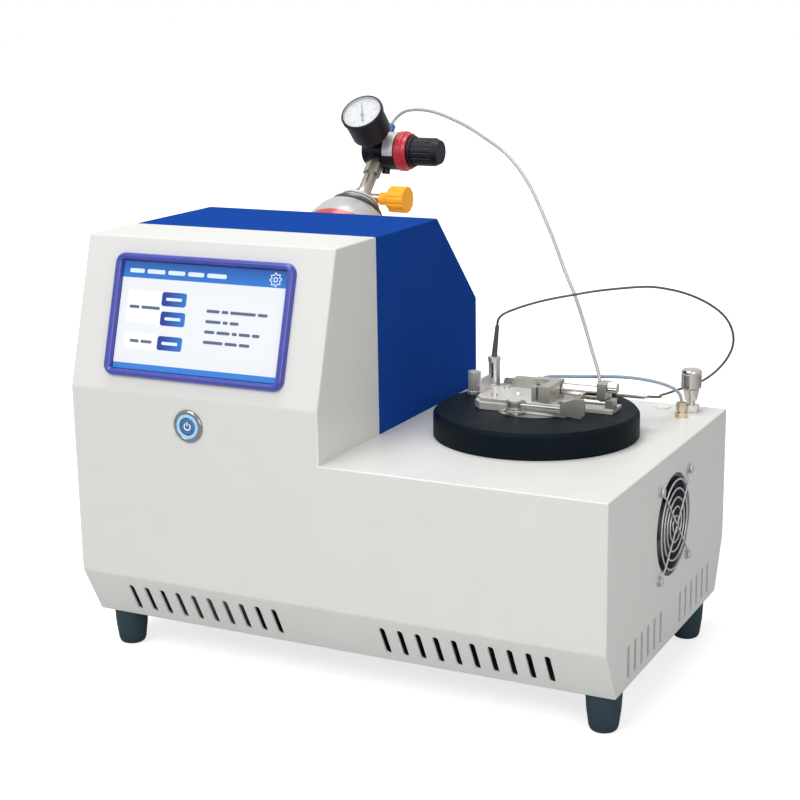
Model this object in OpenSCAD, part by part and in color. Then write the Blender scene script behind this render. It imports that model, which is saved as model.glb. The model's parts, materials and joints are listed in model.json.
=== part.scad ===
// Small-scale closed-cup flash point tester: sheet steel bench instrument with a
// touch screen tower on the left and a heated test cup under a hinged lid on the right.
// X runs to the right, Y to the back and Z up; the origin is on the bench under the middle.

/* [Body] */
// overall width of the cabinet
body_w = 460; // [400:1:520]
// width of the screen tower
tower_w = 228; // [210:1:260]
// depth of the cabinet
body_d = 294; // [270:1:330]
// height of the deck above the cabinet's underside
deck_h = 157; // [150:1:190]
// height of the tower above the cabinet's underside
tower_h = 318; // [300:1:360]
// height at which the tower's front starts to lean back
fold_h = 199; // [185:1:215]
// how far the screen panel leans back at its top
panel_in = 36; // [20:1:50]
// depth of the tower's flat top, measured from the front
top_d = 215; // [190:1:225]
// height of the tower's rear wall below the sloping rear
rear_h = 237; // [220:1:250]
// height of the front bottom chamfer
chamfer_h = 42; // [30:1:50]
// depth of the front bottom chamfer
chamfer_in = 22; // [15:1:30]
// height of the rear bottom chamfer
rear_chamfer_h = 45; // [30:1:50]
// depth of the rear bottom chamfer
rear_chamfer_in = 20; // [15:1:30]
// distance from the front to the seam between white shell and blue cover
seam_y = 101; // [80:1:130]
// sheet thickness
sheet = 1.5; // [1:0.1:2]
// height of the rubber feet
foot_h = 31; // [20:1:40]

/* [Display] */
// width of the visible screen
screen_w = 152; // [140:1:160]
// height of the visible screen
screen_h = 87; // [80:1:92]
// width of the raised frame around the screen
bezel_w = 7; // [5:0.5:9]
// height of that frame above the panel
bezel_t = 5; // [3:0.5:7]
// distance of the screen's middle from the panel's lower fold
screen_s = 61.5; // [55:0.5:68]
// distance of the power button from the left side
button_x = 112; // [90:1:130]
// height of the power button above the cabinet's underside
button_z = 176.5; // [165:0.5:185]

/* [Test chamber] */
// radius of the black insulating disk
disk_r = 83; // [75:1:90]
// height of the disk above the deck
disk_h = 21; // [15:1:30]
// diameter of the test cup
cup_d = 35; // [30:0.5:36]
// depth of the test cup
cup_depth = 9.9; // [8:0.1:12]
// sideways offset of the disk from the middle of the deck
disk_dx = -2; // [-6:1:6]
// distance of the disk's middle from the front
disk_y = 156; // [140:1:170]

/* [Fan] */
// side of the square fan frame
fan_side = 80; // [60:1:92]
// distance of the fan's middle from the front
fan_y = 151; // [145:1:165]
// height of the fan's middle above the cabinet's underside
fan_z = 97; // [85:1:100]

/* [Gas supply] */
// diameter of the gas canister
canister_d = 80; // [70:1:84]
// length of the canister's straight part inside the tower
canister_l = 145; // [120:1:150]
// distance of the regulator's middle from the rear slope
regulator_s = 118.5; // [112:0.5:125]
// diameter of the pressure gauge
gauge_d = 40; // [36:1:44]

/* [Hidden] */
$fn = 64;
eps = 0.01;
deck_w = body_w - tower_w;
z0 = foot_h;
deck_z = z0 + deck_h;
disk_x = tower_w + deck_w / 2 + disk_dx;
disk_z = deck_z + disk_h;

// side outlines of the cabinet as [distance from front, height above underside]
tower_out = [
    [chamfer_in, 0], [0, chamfer_h], [0, fold_h], [panel_in, tower_h], [top_d, tower_h],
    [body_d, rear_h], [body_d, rear_chamfer_h], [body_d - rear_chamfer_in, 0]
];
deck_out = [
    [chamfer_in, 0], [0, chamfer_h], [0, deck_h],
    [body_d, deck_h], [body_d, rear_chamfer_h], [body_d - rear_chamfer_in, 0]
];

// rear slope: its middle, its tilt and the frame of everything that stands on it
slope_a = atan2(tower_h - rear_h, body_d - top_d);
slope_y = (top_d + body_d) / 2;
slope_z = z0 + (tower_h + rear_h) / 2;
canister_x = tower_w / 2 - 3;
lean = atan2(panel_in, tower_h - fold_h);
chamfer_a = atan2(chamfer_in, chamfer_h);

// how far the plant behind the slope reaches, which centres the origin
outlet_s = regulator_s + 30;
reach_y = slope_y + outlet_s * sin(slope_a) + 5 * cos(slope_a);
guard_out = 4;
mid_x = (body_w + guard_out) / 2;
mid_y = reach_y / 2;

foot_r = 14;
foot_tip_r = 10.5;
foot_x = 20;
foot_right_x = 14.5;
foot_front_y = 37;
foot_rear_y = body_d - rear_chamfer_in - 33;

bezel_r = 9;
glass_lip = 0.5;
fan_t = 25;
fan_pitch = fan_side * 0.894;
fan_bore_r = fan_side / 2 - 2;
fan_screw_r = 2;
fit = 0.05;
gap = 0.3;

block_r = 32.5;
block_l = 45;
canister_r = canister_d / 2;
well_r = canister_r + 4;
well_wall = 2;
well_l = canister_l + 4;

// lid measures, from the middle of the disk's top
lid_gap = 0.4;
plate_top = 6;
slide_top = 8.2;
cover_z = 8.4;
cover_top = 9.6;
lid_left = -47;
lid_right = 34;
lid_front = -22;
lid_back = 24;
hinge_v = 36;
hinge_z = 9;
pin_r = 2;
shaft_v = 8;
shaft_z = 16;
shaft_r = 2.5;
lock_u = -8.5;
lock_v = -24;
side_u = -65;
side_v = 24;
probe_u = -50;
probe_v = 31;
port_u = 7;
port_v = -4;
cup_u = -3;
cup_v = 1;
step_top = 1.8;
fill_u = -17;
fill_v = 2.5;
actuator_z = 7.2;
actuator_r = 3.7;
screw_z = 20.6;

valve_x = body_w - 25.5;
valve_y = body_d - 20;
brass_x = body_w - 27;
brass_y = body_d - 42;
plug_x = body_w - 51;
plug_y = body_d - 17;

white = "#e9e8e3";
blue = "#1d3f9c";
black = "#1d2126";
dark = "#3a3f44";
steel = "#c9c8c4";
brass = "#c9b27a";
rubber = "#34495a";
red = "#d8283c";
yellow = "#f5a623";
green = "#2c6e49";

// ---- places -------------------------------------------------------------------------

// measures from the cabinet's front left corner on the bench
module datum() translate([-mid_x, -mid_y, 0]) children();
// measures from the cabinet's underside
module cabinet() datum() translate([0, 0, z0]) children();
// measures from the middle of the insulating disk's top
module on_disk() datum() translate([disk_x, disk_y, disk_z]) children();
// local Z runs out of the rear slope along the canister's axis, local -Y faces front and up
module on_slope() datum() translate([canister_x, slope_y, slope_z]) rotate([-slope_a, 0, 0])
    children();
// local X right, Y up the screen panel, Z out of it
module on_panel() cabinet() translate([0, 0, fold_h]) rotate([90 - lean, 0, 0]) children();
// local X right, Y up, Z out of the front wall
module on_front() cabinet() rotate([90, 0, 0]) children();
// local X to the back, Y up, Z out of the right wall
module on_right() cabinet() translate([body_w, 0, 0]) rotate([90, 0, 90]) children();
// local X right, Y up the front chamfer, Z out of it
module on_chamfer() cabinet() translate([0, 0, chamfer_h]) rotate([90 + chamfer_a, 0, 0])
    children();
// local Z along +X
module along_x() rotate([0, 90, 0]) children();
// the regulator's knob axis along local Z
module on_regulator() on_slope() translate([0, 0, regulator_s]) along_x() children();
// the gauge's face towards local Z, with local Y to 12 o'clock
module on_gauge() on_slope() translate([0, 0, regulator_s]) rotate([90, 0, 0])
    rotate([0, 0, gauge_turn]) children();

// ---- shared shapes ------------------------------------------------------------------

function unit(v) = v / norm(v);
function turn(v) = [v[1], -v[0]];
function edge(p, i) = unit(p[(i + 1) % len(p)] - p[i]);
// the outline moved inwards by t; outlines run clockwise
function inset(p, t) = [
    for (i = [0 : len(p) - 1])
        let (a = turn(edge(p, (i + len(p) - 1) % len(p))), b = turn(edge(p, i)))
        p[i] + t * (a + b) / (1 + a * b)
];
// a rectangle about the middle with round corners
function round_rect(w, h, r, n = 8) = [
    for (c = [[1, 1, 0], [-1, 1, 90], [-1, -1, 180], [1, -1, 270]], k = [0 : n])
        [c[0] * (w / 2 - r) + r * cos(c[2] + 90 * k / n),
         c[1] * (h / 2 - r) + r * sin(c[2] + 90 * k / n)]
];

module side_prism(outline, x1, x2) translate([x1, 0, 0]) rotate([90, 0, 90])
    linear_extrude(x2 - x1) polygon(outline);

module rod(r, z1, z2) translate([0, 0, z1]) cylinder(r = r, h = z2 - z1);

module ring(r_out, r_in, z1, z2) difference() {
    rod(r_out, z1, z2);
    rod(r_in, z1 - 1, z2 + 1);
}

module hexagon(across, z1, z2) translate([0, 0, z1]) rotate([0, 0, 30])
    cylinder(r = across / sqrt(3), h = z2 - z1, $fn = 6);

module slab(x, y, z) translate([x[0], y[0], z[0]]) cube([x[1] - x[0], y[1] - y[0], z[1] - z[0]]);

// a grip with shallow flutes all round
module fluted(r, z1, z2, flutes, flute_r) difference() {
    rod(r, z1, z2);
    for (i = [0 : flutes - 1]) rotate([0, 0, i * 360 / flutes])
        translate([r + flute_r * 0.55, 0, 0]) rod(flute_r, z1 - 1, z2 + 1);
}

// a smooth path through hand-set points, then a tube with flat sides along it
function bend(p, i, t) =
    let (n = len(p) - 1, a = p[max(i - 1, 0)], b = p[i], c = p[min(i + 1, n)], d = p[min(i + 2, n)])
    0.5 * (2 * b + t * (c - a) + t * t * (2 * a - 5 * b + 4 * c - d)
        + t * t * t * (3 * b - a - 3 * c + d));
function smooth(p, k) = [
    for (i = [0 : len(p) - 2], j = [0 : k - 1]) bend(p, i, j / k), p[len(p) - 1]
];
function tangents(p) = [
    for (i = [0 : len(p) - 1]) unit(p[min(i + 1, len(p) - 1)] - p[max(i - 1, 0)])
];
function carried(ts, i, v) = i == len(ts) ? [] :
    let (m = unit(v - (v * ts[i]) * ts[i])) concat([m], carried(ts, i + 1, m));
module hose(points, r, sides, k) {
    path = smooth(points, k);
    ts = tangents(path);
    first = abs(ts[0][2]) > 0.8 ? [1, 0, 0] : [0, 0, 1];
    ns = carried(ts, 0, first);
    last = len(path) - 1;
    verts = [
        for (i = [0 : last], s = [0 : sides - 1])
            path[i] + r * (cos(360 * s / sides) * ns[i]
                + sin(360 * s / sides) * cross(ts[i], ns[i]))
    ];
    walls = [
        for (i = [0 : last - 1], s = [0 : sides - 1])
            let (a = i * sides + s, b = i * sides + (s + 1) % sides)
            [b, a, a + sides, b + sides]
    ];
    polyhedron(verts, concat(
        walls,
        [[for (s = [0 : sides - 1]) s]],
        [[for (s = [sides - 1 : -1 : 0]) last * sides + s]]
    ), convexity = 6);
}

// ---- cabinet ------------------------------------------------------------------------

slot_w = 5;
slot_pitch = 15.1;
front_slots = 10;
chamfer_slot = [-39.2, -10.5];
side_slots = 6;
side_slot = [7.2, 33.3];
cup_hole_r = 40;
// mains inlet: its flange, the flange's distance from the side wall and its height
inlet_w = 50;
inlet_h = 30;
inlet_inset = 35;
inlet_x = body_w - inlet_inset - inlet_w / 2;
inlet_z = 77;
inlet_box_w = inlet_w - 3;
inlet_box_h = inlet_h - 4;
inlet_hole_w = inlet_box_w + 0.4;
inlet_hole_h = inlet_box_h + 0.4;
valve_hole_r = 5;
brass_hole_r = 4.2;
plug_hole_r = 6;
button_hole_r = 11.2;

// everything inside the sheet metal, open below
module cavity() {
    side_prism(inset(tower_out, sheet), sheet, tower_w - sheet);
    side_prism(inset(deck_out, sheet), sheet, body_w - sheet);
    slab([sheet, body_w - sheet],
        [chamfer_in + sheet, body_d - rear_chamfer_in - sheet], [-1, sheet + 1]);
}

// a row of upright slots with round ends, along x from the first one's middle
module slots(first, count, span) for (i = [0 : count - 1])
    translate([first + i * slot_pitch, (span[0] + span[1]) / 2, -sheet - 3])
        linear_extrude(sheet + 4)
            polygon(round_rect(slot_w, span[1] - span[0], slot_w / 2 - 0.1, 4));

module chamfer_slots(x) on_chamfer() slots(x, front_slots, chamfer_slot);

module side_slots(y) on_right() slots(y, side_slots, side_slot);

module at_fan_corners() for (a = [-1, 1], b = [-1, 1])
    translate([a * fan_pitch / 2, b * fan_pitch / 2, 0]) children();

module on_fan() on_right() translate([fan_y, fan_z, 0]) children();

module front_shell() color(white) difference() {
    cabinet() union() {
        intersection() {
            side_prism(tower_out, 0, tower_w);
            slab([-1, tower_w + 1], [-1, seam_y], [-1, tower_h + 1]);
        }
        side_prism(deck_out, tower_w, body_w);
    }
    cabinet() cavity();
    chamfer_slots(44.2);
    chamfer_slots(276.5);
    side_slots(49.2);
    side_slots(173.8);
    on_fan() {
        rod(fan_side / 2 + 1, -sheet - 1, 1);
        at_fan_corners() rod(fan_screw_r + 0.2, -sheet - 1, 1);
    }
    on_disk() rod(cup_hole_r, -disk_h - sheet - 1, -disk_h + 1);
    datum() {
        translate([valve_x, valve_y, deck_z]) rod(valve_hole_r, -sheet - 1, 1);
        translate([brass_x, brass_y, deck_z]) rod(brass_hole_r, -sheet - 1, 1);
        translate([plug_x, plug_y, deck_z]) rod(plug_hole_r, -sheet - 1, 1);
    }
    cabinet() slab([inlet_x - inlet_hole_w / 2, inlet_x + inlet_hole_w / 2],
        [body_d - sheet - 1, body_d + 1],
        [inlet_z - inlet_hole_h / 2, inlet_z + inlet_hole_h / 2]);
    on_front() translate([button_x, button_z, 0]) rod(button_hole_r, -sheet - 1, 1);
    on_panel() translate([tower_w / 2, screen_s, 0])
        slab([-screen_w / 2 - 0.5, screen_w / 2 + 0.5], [-screen_h / 2 - 0.5, screen_h / 2 + 0.5],
            [-sheet - 1, 1]);
}

module rear_cover() color(blue) difference() {
    cabinet() intersection() {
        side_prism(tower_out, 0, tower_w);
        slab([-1, tower_w + 1], [seam_y + 0.4, body_d + 1], [-1, tower_h + 1]);
    }
    cabinet() cavity();
    on_slope() rod(well_r, -sheet - 1, 1);
}

module at_feet() for (x = [foot_x, body_w - foot_right_x], y = [foot_front_y, foot_rear_y])
    translate([x, y, 0]) children();

module base_plate() color(steel) cabinet() difference() {
    slab([sheet, body_w - sheet], [chamfer_in + sheet, body_d - rear_chamfer_in - sheet],
        [0, sheet]);
    at_feet() rod(2.2, -1, sheet + 1);
}

foot_bore = foot_h * 0.45;

module feet() color(rubber) cabinet() at_feet() rotate_extrude() polygon([
    [2.2, 0], [foot_r, 0], [foot_r - 0.8, -foot_h * 0.45], [foot_tip_r + 1, -foot_h * 0.87],
    [foot_tip_r, -foot_h * 0.96], [foot_tip_r - 1.3, -foot_h], [5, -foot_h], [5, -foot_bore],
    [2.2, -foot_bore]
]);

module foot_screws() color(steel) cabinet() at_feet() {
    rod(4.2, -foot_bore - 3, -foot_bore);
    rod(2, -foot_bore - eps, sheet + 4);
    hexagon(7, sheet, sheet + 3);
}

// ---- display and power button -------------------------------------------------------

bezel_out_w = screen_w + 2 * bezel_w;
bezel_out_h = screen_h + 2 * bezel_w - 2;
panel_module = [164, 98];
module_t = 8;
board_z = -22.4;

module on_screen() on_panel() translate([tower_w / 2, screen_s, 0]) children();

module display_bezel() color(blue) on_screen() difference() {
    union() {
        linear_extrude(bezel_t * 0.6) polygon(round_rect(bezel_out_w, bezel_out_h, bezel_r));
        translate([0, 0, bezel_t * 0.6]) linear_extrude(bezel_t * 0.4)
            polygon(round_rect(bezel_out_w - 3, bezel_out_h - 3, bezel_r - 1.5));
    }
    slab([-screen_w / 2, screen_w / 2], [-screen_h / 2, screen_h / 2], [-1, bezel_t + 1]);
}

module touchscreen() color(black) on_screen() {
    slab([-screen_w / 2 + gap, screen_w / 2 - gap], [-screen_h / 2 + gap, screen_h / 2 - gap],
        [-sheet - eps, glass_lip]);
    slab([-panel_module[0] / 2, panel_module[0] / 2], [-panel_module[1] / 2, panel_module[1] / 2],
        [-sheet - module_t, -sheet]);
}

module display_board() color(green) on_screen() {
    slab([-60, 60], [-36, 36], [board_z - 1.6, board_z]);
    slab([-30, 0], [-15, 15], [board_z - 4, board_z - 1.6]);
    slab([15, 45], [-30, -18], [board_z - 9, board_z - 1.6]);
    for (x = [-55, 55], y = [-31, 31])
        translate([x, y, 0]) rod(2.5, board_z, -sheet - module_t);
}

button_r = 13.25;
cap_r = 6.7;
cap_stem_r = 4;
light_r = 9.9;

module on_button() on_front() translate([button_x, button_z, 0]) children();

module power_button_body() color(steel) on_button() difference() {
    union() {
        rod(button_r, 0, 2.4);
        rod(button_hole_r - 0.2, -28, eps);
        hexagon(27, -sheet - 5, -sheet);
    }
    rod(cap_r + gap, -10.5, 3);
    rod(cap_stem_r + fit, -20, -10);
    ring(light_r, cap_r + gap + 0.2, 1.9, 3);
}

module power_button_cap() color(steel) on_button() {
    rod(cap_r, -8, 2);
    rod(cap_stem_r, -15, -8 + eps);
}

// ---- fan ----------------------------------------------------------------------------

fan_back = -sheet - fan_t;
rotor_r = 16;
blade_r = 36.3;
blade_chord = 18;
blade_tilt = 35;
blades = 7;
fan_shaft_r = 2;
wire_r = 0.7;
guard_rings = [7 : 7.2 : 36];
guard_ring_z = 1.9;
arm_r = 0.8;
arm_z = 3.1;
// where an arm bends down to its screw, and by how many degrees
arm_bend = [41, 17.6];
fan_head_r = 3.5;

module fan_frame() color(black) on_fan() {
    difference() {
        translate([0, 0, fan_back]) linear_extrude(fan_t)
            polygon(round_rect(fan_side, fan_side, 5));
        rod(fan_bore_r, fan_back - 1, 1);
        at_fan_corners() rod(fan_screw_r + 0.2, fan_back - 1, 1);
    }
    difference() {
        union() {
            rod(rotor_r, fan_back, fan_back + 3);
            rod(fan_shaft_r + 3, fan_back, fan_back + 6);
            for (a = [45 : 90 : 315]) rotate([0, 0, a])
                slab([rotor_r - 1, fan_bore_r + 0.5], [-2, 2], [fan_back, fan_back + 3]);
        }
        rod(fan_shaft_r + fit, fan_back + 1, fan_back + 7);
    }
}

module fan_rotor() color(dark) on_fan() {
    difference() {
        rod(rotor_r, fan_back + 4, fan_back + 21);
        rod(rotor_r - 3, fan_back + 3, fan_back + 17);
    }
    rod(fan_shaft_r, fan_back + 1.5, fan_back + 18);
    for (i = [0 : blades - 1]) rotate([0, 0, i * 360 / blades])
        translate([rotor_r - 0.7, 0, fan_back + 12.5]) rotate([blade_tilt, 0, 0])
            slab([0, blade_r - rotor_r + 0.7], [-blade_chord / 2, blade_chord / 2], [-0.8, 0.8]);
}

module fan_guard() color(steel) on_fan() {
    for (r = guard_rings) translate([0, 0, guard_ring_z]) rotate_extrude()
        translate([r, 0]) circle(r = wire_r);
    for (a = [45 : 90 : 315]) rotate([0, 0, a]) {
        translate([0, 0, arm_z]) along_x() rod(arm_r, 1.6, arm_bend[0]);
        translate([arm_bend[0], 0, arm_z]) rotate([0, arm_bend[1], 0]) along_x()
            rod(arm_r, -0.2, fan_pitch / sqrt(2) - fan_head_r - arm_bend[0]);
        translate([fan_pitch / sqrt(2), 0, 0]) ring(4.2, fan_screw_r + 0.3, 0, 1.9);
    }
}

module fan_screws() color(steel) on_fan() at_fan_corners() {
    rod(fan_head_r, 1.9, guard_out);
    rod(fan_screw_r, fan_back + 2, 1.9 + eps);
}

// ---- electrical parts ---------------------------------------------------------------

module mains_inlet() color(black) cabinet() translate([inlet_x, body_d, inlet_z]) {
    difference() {
        union() {
            slab([-inlet_w / 2, inlet_w / 2], [0, 2.4], [-inlet_h / 2, inlet_h / 2]);
            slab([-inlet_box_w / 2, inlet_box_w / 2], [-26, eps],
                [-inlet_box_h / 2, inlet_box_h / 2]);
        }
        slab([-12, 12], [-15, 3], [-8, 8]);
    }
    for (p = [[-7, -1.5], [0, 2.5], [7, -1.5]])
        translate([p[0], 0, p[1]]) slab([-1, 1], [-16, -7], [-2, 2]);
}

supply_x = 20;
supply_y = 70;
supply_w = 99;
supply_l = 159;
supply_h = 36;
supply_wall = 2;

module power_supply() color(steel) cabinet() translate([supply_x, supply_y, sheet]) {
    difference() {
        slab([0, supply_w], [0, supply_l], [0, supply_h]);
        slab([supply_wall, supply_w - supply_wall], [supply_wall, supply_l - supply_wall],
            [supply_wall, supply_h + 1]);
    }
    slab([20, 60], [40, 80], [1, supply_h - 4]);
    slab([6, supply_w - 6], [-12, 1], [0, 16]);
    for (x = [20, 75], y = [25, 120]) translate([x, y, 0]) rod(9, 1, supply_h - 5);
}

board_x = 135;
board_y = 70;
board_w = 87;
board_l = 150;
board_t = 1.6;
board_lift = 12;

module control_board() color(green) cabinet() translate([board_x, board_y, board_lift]) {
    slab([0, board_w], [0, board_l], [0, board_t]);
    for (x = [5, board_w - 5], y = [5, board_l - 5])
        translate([x, y, 0]) rod(2.5, sheet - board_lift, 0);
    slab([15, 45], [40, 70], [board_t, 4]);
    slab([55, 80], [90, 130], [board_t, 16]);
    slab([5, 25], [95, 140], [board_t, 12]);
}

// ---- test chamber -------------------------------------------------------------------

module insulating_disk() color(black) on_disk() difference() {
    rotate_extrude() polygon([
        [block_r + 0.5, -disk_h], [disk_r, -disk_h], [disk_r, -3], [disk_r - 2.5, 0],
        [block_r + 0.5, 0]
    ]);
    translate([side_u, side_v, 0]) rod(pin_r, -8, 1);
}

seal_r = cup_d / 2 + 1.4;

module cup_block() color(steel) on_disk() difference() {
    union() {
        rod(block_r, -block_l, 0);
        rod(38, -block_l, -block_l + 5);
    }
    translate([cup_u, cup_v, 0]) {
        rod(cup_d / 2, -cup_depth, 1);
        ring(seal_r + 1, seal_r - 1, -1.6, 1);
    }
    translate([lock_u, lock_v, 0]) rod(pin_r, -8, 1);
    translate([0, 0, -22]) along_x() rod(2.5, 14, block_r + 1);
}

module cup_seal() color(black) on_disk() translate([cup_u, cup_v, -0.7]) rotate_extrude()
    translate([seal_r, 0]) circle(r = 0.9);

module cooling_module() color("white") on_disk()
    slab([-20, 20], [-20, 20], [-block_l - 4, -block_l]);

sink_top = -block_l - 4;
sink_half = 46;
fins = 13;

module heat_sink() color(steel) on_disk() {
    slab([-sink_half, sink_half], [-sink_half, sink_half], [sink_top - 6, sink_top]);
    for (i = [0 : fins - 1]) translate([0, (i / (fins - 1) - 0.5) * (2 * sink_half - 1.6), 0])
        slab([-sink_half, sink_half], [-0.8, 0.8], [sink_top - 36, sink_top - 5]);
    for (x = [-38, 38], y = [-38, 38]) translate([x, y, 0]) rod(3, sink_top - 1, -disk_h - sheet);
}

// ---- lid ----------------------------------------------------------------------------

leaf_u = [-33.7, 39.7];
knuckle_r = 4.5;
shaft_end_u = 52;
jet_block_u = [11.4, 19.6];
clevis_u = [50.5, 58];
plug_v = 44;
plug_z = 7;
elbow_u = 38;
elbow_v = 44.2;
elbow_top = 16;
barb_u = 0;
barb_z = 21.2;
barb_v = 16;
lid_screw_places = [[-31.5, -11], [-33, 18], [28, -17.5], [28, 18.5]];

module on_hinge() on_disk() translate([0, hinge_v, hinge_z]) along_x() children();
module on_shaft() translate([0, shaft_v, shaft_z]) along_x() children();

module hinge_base() color(dark) difference() {
    union() {
        on_disk() {
            slab([-42, 52], [30, 48], [0, 3.6]);
            for (u = [[-42, -34], [40, 46]]) slab(u, [hinge_v - knuckle_r, hinge_v + knuckle_r],
                [3.5, hinge_z]);
            slab([46, 53], [39.5, 48.5], [0, 11]);
        }
        on_hinge() {
            rod(knuckle_r, -42, -34);
            rod(knuckle_r, 40, 46);
        }
    }
    on_hinge() rod(pin_r, -43, 47);
    on_disk() translate([0, plug_v, plug_z]) along_x() rod(2.5 + fit, 47, 54);
}

module hinge_pin() color(steel) on_hinge() rod(pin_r, -42.6, 46.6);

module hinge_leaf() color(dark) difference() {
    union() {
        on_disk() {
            slab([-42, lid_right], [lid_back, 29.6], [1, 10.5]);
            slab(leaf_u, [29, hinge_v], [5, 12]);
            slab([-30, -10], [lid_back + 0.2, 33], [10, 17]);
        }
        on_hinge() rod(knuckle_r, leaf_u[0], leaf_u[1]);
    }
    on_hinge() rod(pin_r + fit, -43, 47);
}

plate_outline = [
    [lid_left, -15], [lid_left + 7, lid_front], [lid_right, lid_front], [lid_right, lid_back],
    [lid_left + 3.5, lid_back], [lid_left, lid_back - 3.5]
];

module lid_ports(z1, z2) {
    slab([port_u - 3, port_u + 3], [port_v - 5.5, port_v + 5], [z1, z2]);
    translate([fill_u, fill_v, 0]) rod(1.9, z1, z2);
    translate([lock_u, lock_v, 0]) {
        rod(5.6, z1, z2);
        rod(9.2, max(z1, step_top), z2);
    }
}

module at_lid_screws() for (p = lid_screw_places) translate([p[0], p[1], 0]) children();

module lid_plate() color(steel) on_disk() difference() {
    union() {
        translate([0, 0, lid_gap]) linear_extrude(plate_top - lid_gap) polygon(plate_outline);
        slab([lid_left + 1, -22.5], [lid_front + 8, lid_back - 1], [plate_top - eps, cover_z]);
        slab([-40, lid_right - 1], [lid_front + 1, lid_front + 9.6], [plate_top - eps, cover_z]);
        slab([-40, lid_right - 1], [12.4, lid_back - 1], [plate_top - eps, cover_z]);
        slab([lid_right - eps, 64], [1, lid_back], [lid_gap, 3.4]);
        translate([probe_u, probe_v, 0]) rod(6.5, lid_gap, plate_top);
        slab([probe_u - 6.5, lid_left + 3], [15, probe_v], [lid_gap, plate_top]);
        slab([lid_left, lid_left + 2], [-6, 12], [plate_top, cover_top + 11.6]);
    }
    lid_ports(-1, cover_z + 1);
    at_lid_screws() rod(1.3, 2, cover_z + 1);
}

module lid_cover() color(steel) on_disk() difference() {
    translate([0, 0, cover_z]) linear_extrude(cover_top - cover_z) polygon([
        [lid_left + 2.2, -15], [lid_left + 8, lid_front + 0.4], [lid_right, lid_front + 0.4],
        [lid_right, lid_back - 0.4], [lid_left + 5, lid_back - 0.4], [lid_left + 2.2, lid_back - 4]
    ]);
    lid_ports(cover_z - 1, cover_top + 1);
    translate([fill_u, fill_v, cover_z + 0.2]) cylinder(r1 = 2.2, r2 = 3.6, h = 1.41);
    at_lid_screws() rod(1.5, cover_z - 1, cover_top + 1);
}

module lid_screws() color(steel) on_disk() at_lid_screws() {
    difference() {
        rod(2.6, cover_top, cover_top + 1.5);
        slab([-3, 3], [-0.4, 0.4], [cover_top + 0.9, cover_top + 2]);
    }
    rod(1.25, 2.4, cover_top + eps);
}

module shutter_slide() color(steel) on_disk() {
    difference() {
        slab([-9, 36], [-12, 12], [plate_top + 0.2, slide_top]);
        slab([port_u + 2.9, port_u + 15], [port_v - 5.5, port_v + 5], [plate_top, cover_z]);
    }
    translate([0, shaft_v, actuator_z]) along_x() rod(0.95, 35.5, 54);
}

module slide_actuator() color(steel) on_disk() difference() {
    union() {
        translate([0, shaft_v, actuator_z]) along_x() rod(actuator_r, 38.5, 57.4);
        slab([40, 57.4], [shaft_v - 3, shaft_v + 3], [3.4, actuator_z]);
        slab([57.3, 64], [shaft_v - 5, shaft_v + 5], [3.4, 11]);
        slab(clevis_u, [shaft_v + 4.6, shaft_v + 9], [3.4, 12]);
        slab(clevis_u, [shaft_v - 6, shaft_v + 9], [11.6, 24]);
    }
    translate([0, shaft_v, actuator_z]) along_x() rod(0.95 + gap, 38, 56);
    on_shaft() rod(shaft_r + fit, clevis_u[0] - 1, shaft_end_u + 1);
    translate([0, shaft_v, screw_z]) along_x() rod(1.5 + fit, clevis_u[0] - 1, clevis_u[1] + 1);
}

module jet_block() color(steel) on_disk() difference() {
    union() {
        slab(jet_block_u, [-21, 12], [cover_top, 23.3]);
        slab([4, jet_block_u[0] + eps], [-20, -13], [cover_top, 22]);
        slab([barb_u - 3, jet_block_u[0] + eps], [4, 12], [19.2, 23.3]);
        translate([barb_u, 0, barb_z]) rotate([-90, 0, 0]) rod(1.3, 11, barb_v);
    }
    on_shaft() rod(shaft_r + fit, jet_block_u[0] - 1, jet_block_u[1] + 1);
    slab([7.8, 9.8], [-21, -16], [cover_top + 1.5, 23]);
}

module gas_jet() color(steel) on_disk() {
    on_shaft() {
        rod(shaft_r, port_u - 1.8, shaft_end_u);
        rod(4.8, 20.2, 49.9);
        rod(2.9, port_u - 1.8, port_u + 1.8);
    }
    translate([port_u, -6, 14.5]) rotate([-83.9, 0, 0]) rod(1.2, 0, 14);
    translate([port_u, -6, 0]) rod(1.2, 10.4, 15.6);
}

module flame_screw() color(steel) on_disk() translate([0, shaft_v, screw_z]) along_x() {
    fluted(4.2, clevis_u[1] + 0.4, 66, 12, 0.8);
    rod(1.5, clevis_u[0] + 1, clevis_u[1] + 0.5);
}

module clamp_studs() color(steel) on_disk() {
    translate([lock_u, lock_v, 0]) rod(pin_r, -8, 9);
    translate([side_u, side_v, 0]) rod(pin_r, -8, 15);
}

// flat towards the lid at rest; turned, its round side hangs over the lid's bottom step
module lobe(r, z1, z2) difference() {
    rod(r, z1, z2);
    slab([-10, 10], [1.5, 10], [z1 - 1, z2 + 1]);
}

module lock_knob() color(steel) on_disk() translate([lock_u, lock_v, 0]) difference() {
    union() {
        lobe(8.7, step_top + 0.3, 3.6);
        rod(5.1, 0.4, 11);
    }
    rod(pin_r + fit, 0, 9.3);
}

module lock_lever() color(steel) on_disk() translate([0, lock_v, 0]) {
    difference() {
        union() {
            translate([lock_u, 0, 0]) lobe(7.6, 3.6, 5);
            slab([lock_u, 31], [-2, 1.4], [3.6, 5]);
        }
        translate([lock_u, 0, 0]) rod(5.15, 3, 6);
    }
    translate([0, 0, 7.6]) along_x() rod(1.1, lock_u + 5.15, 31);
    translate([0, 1, 0]) rotate([90, 0, 0]) linear_extrude(2) polygon([
        [30, 3.6], [30, 12], [42, 16.6], [49, 17], [50.5, 15.5], [50.5, 4.6], [47, 1.4], [32, 2.6]
    ]);
}

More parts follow.
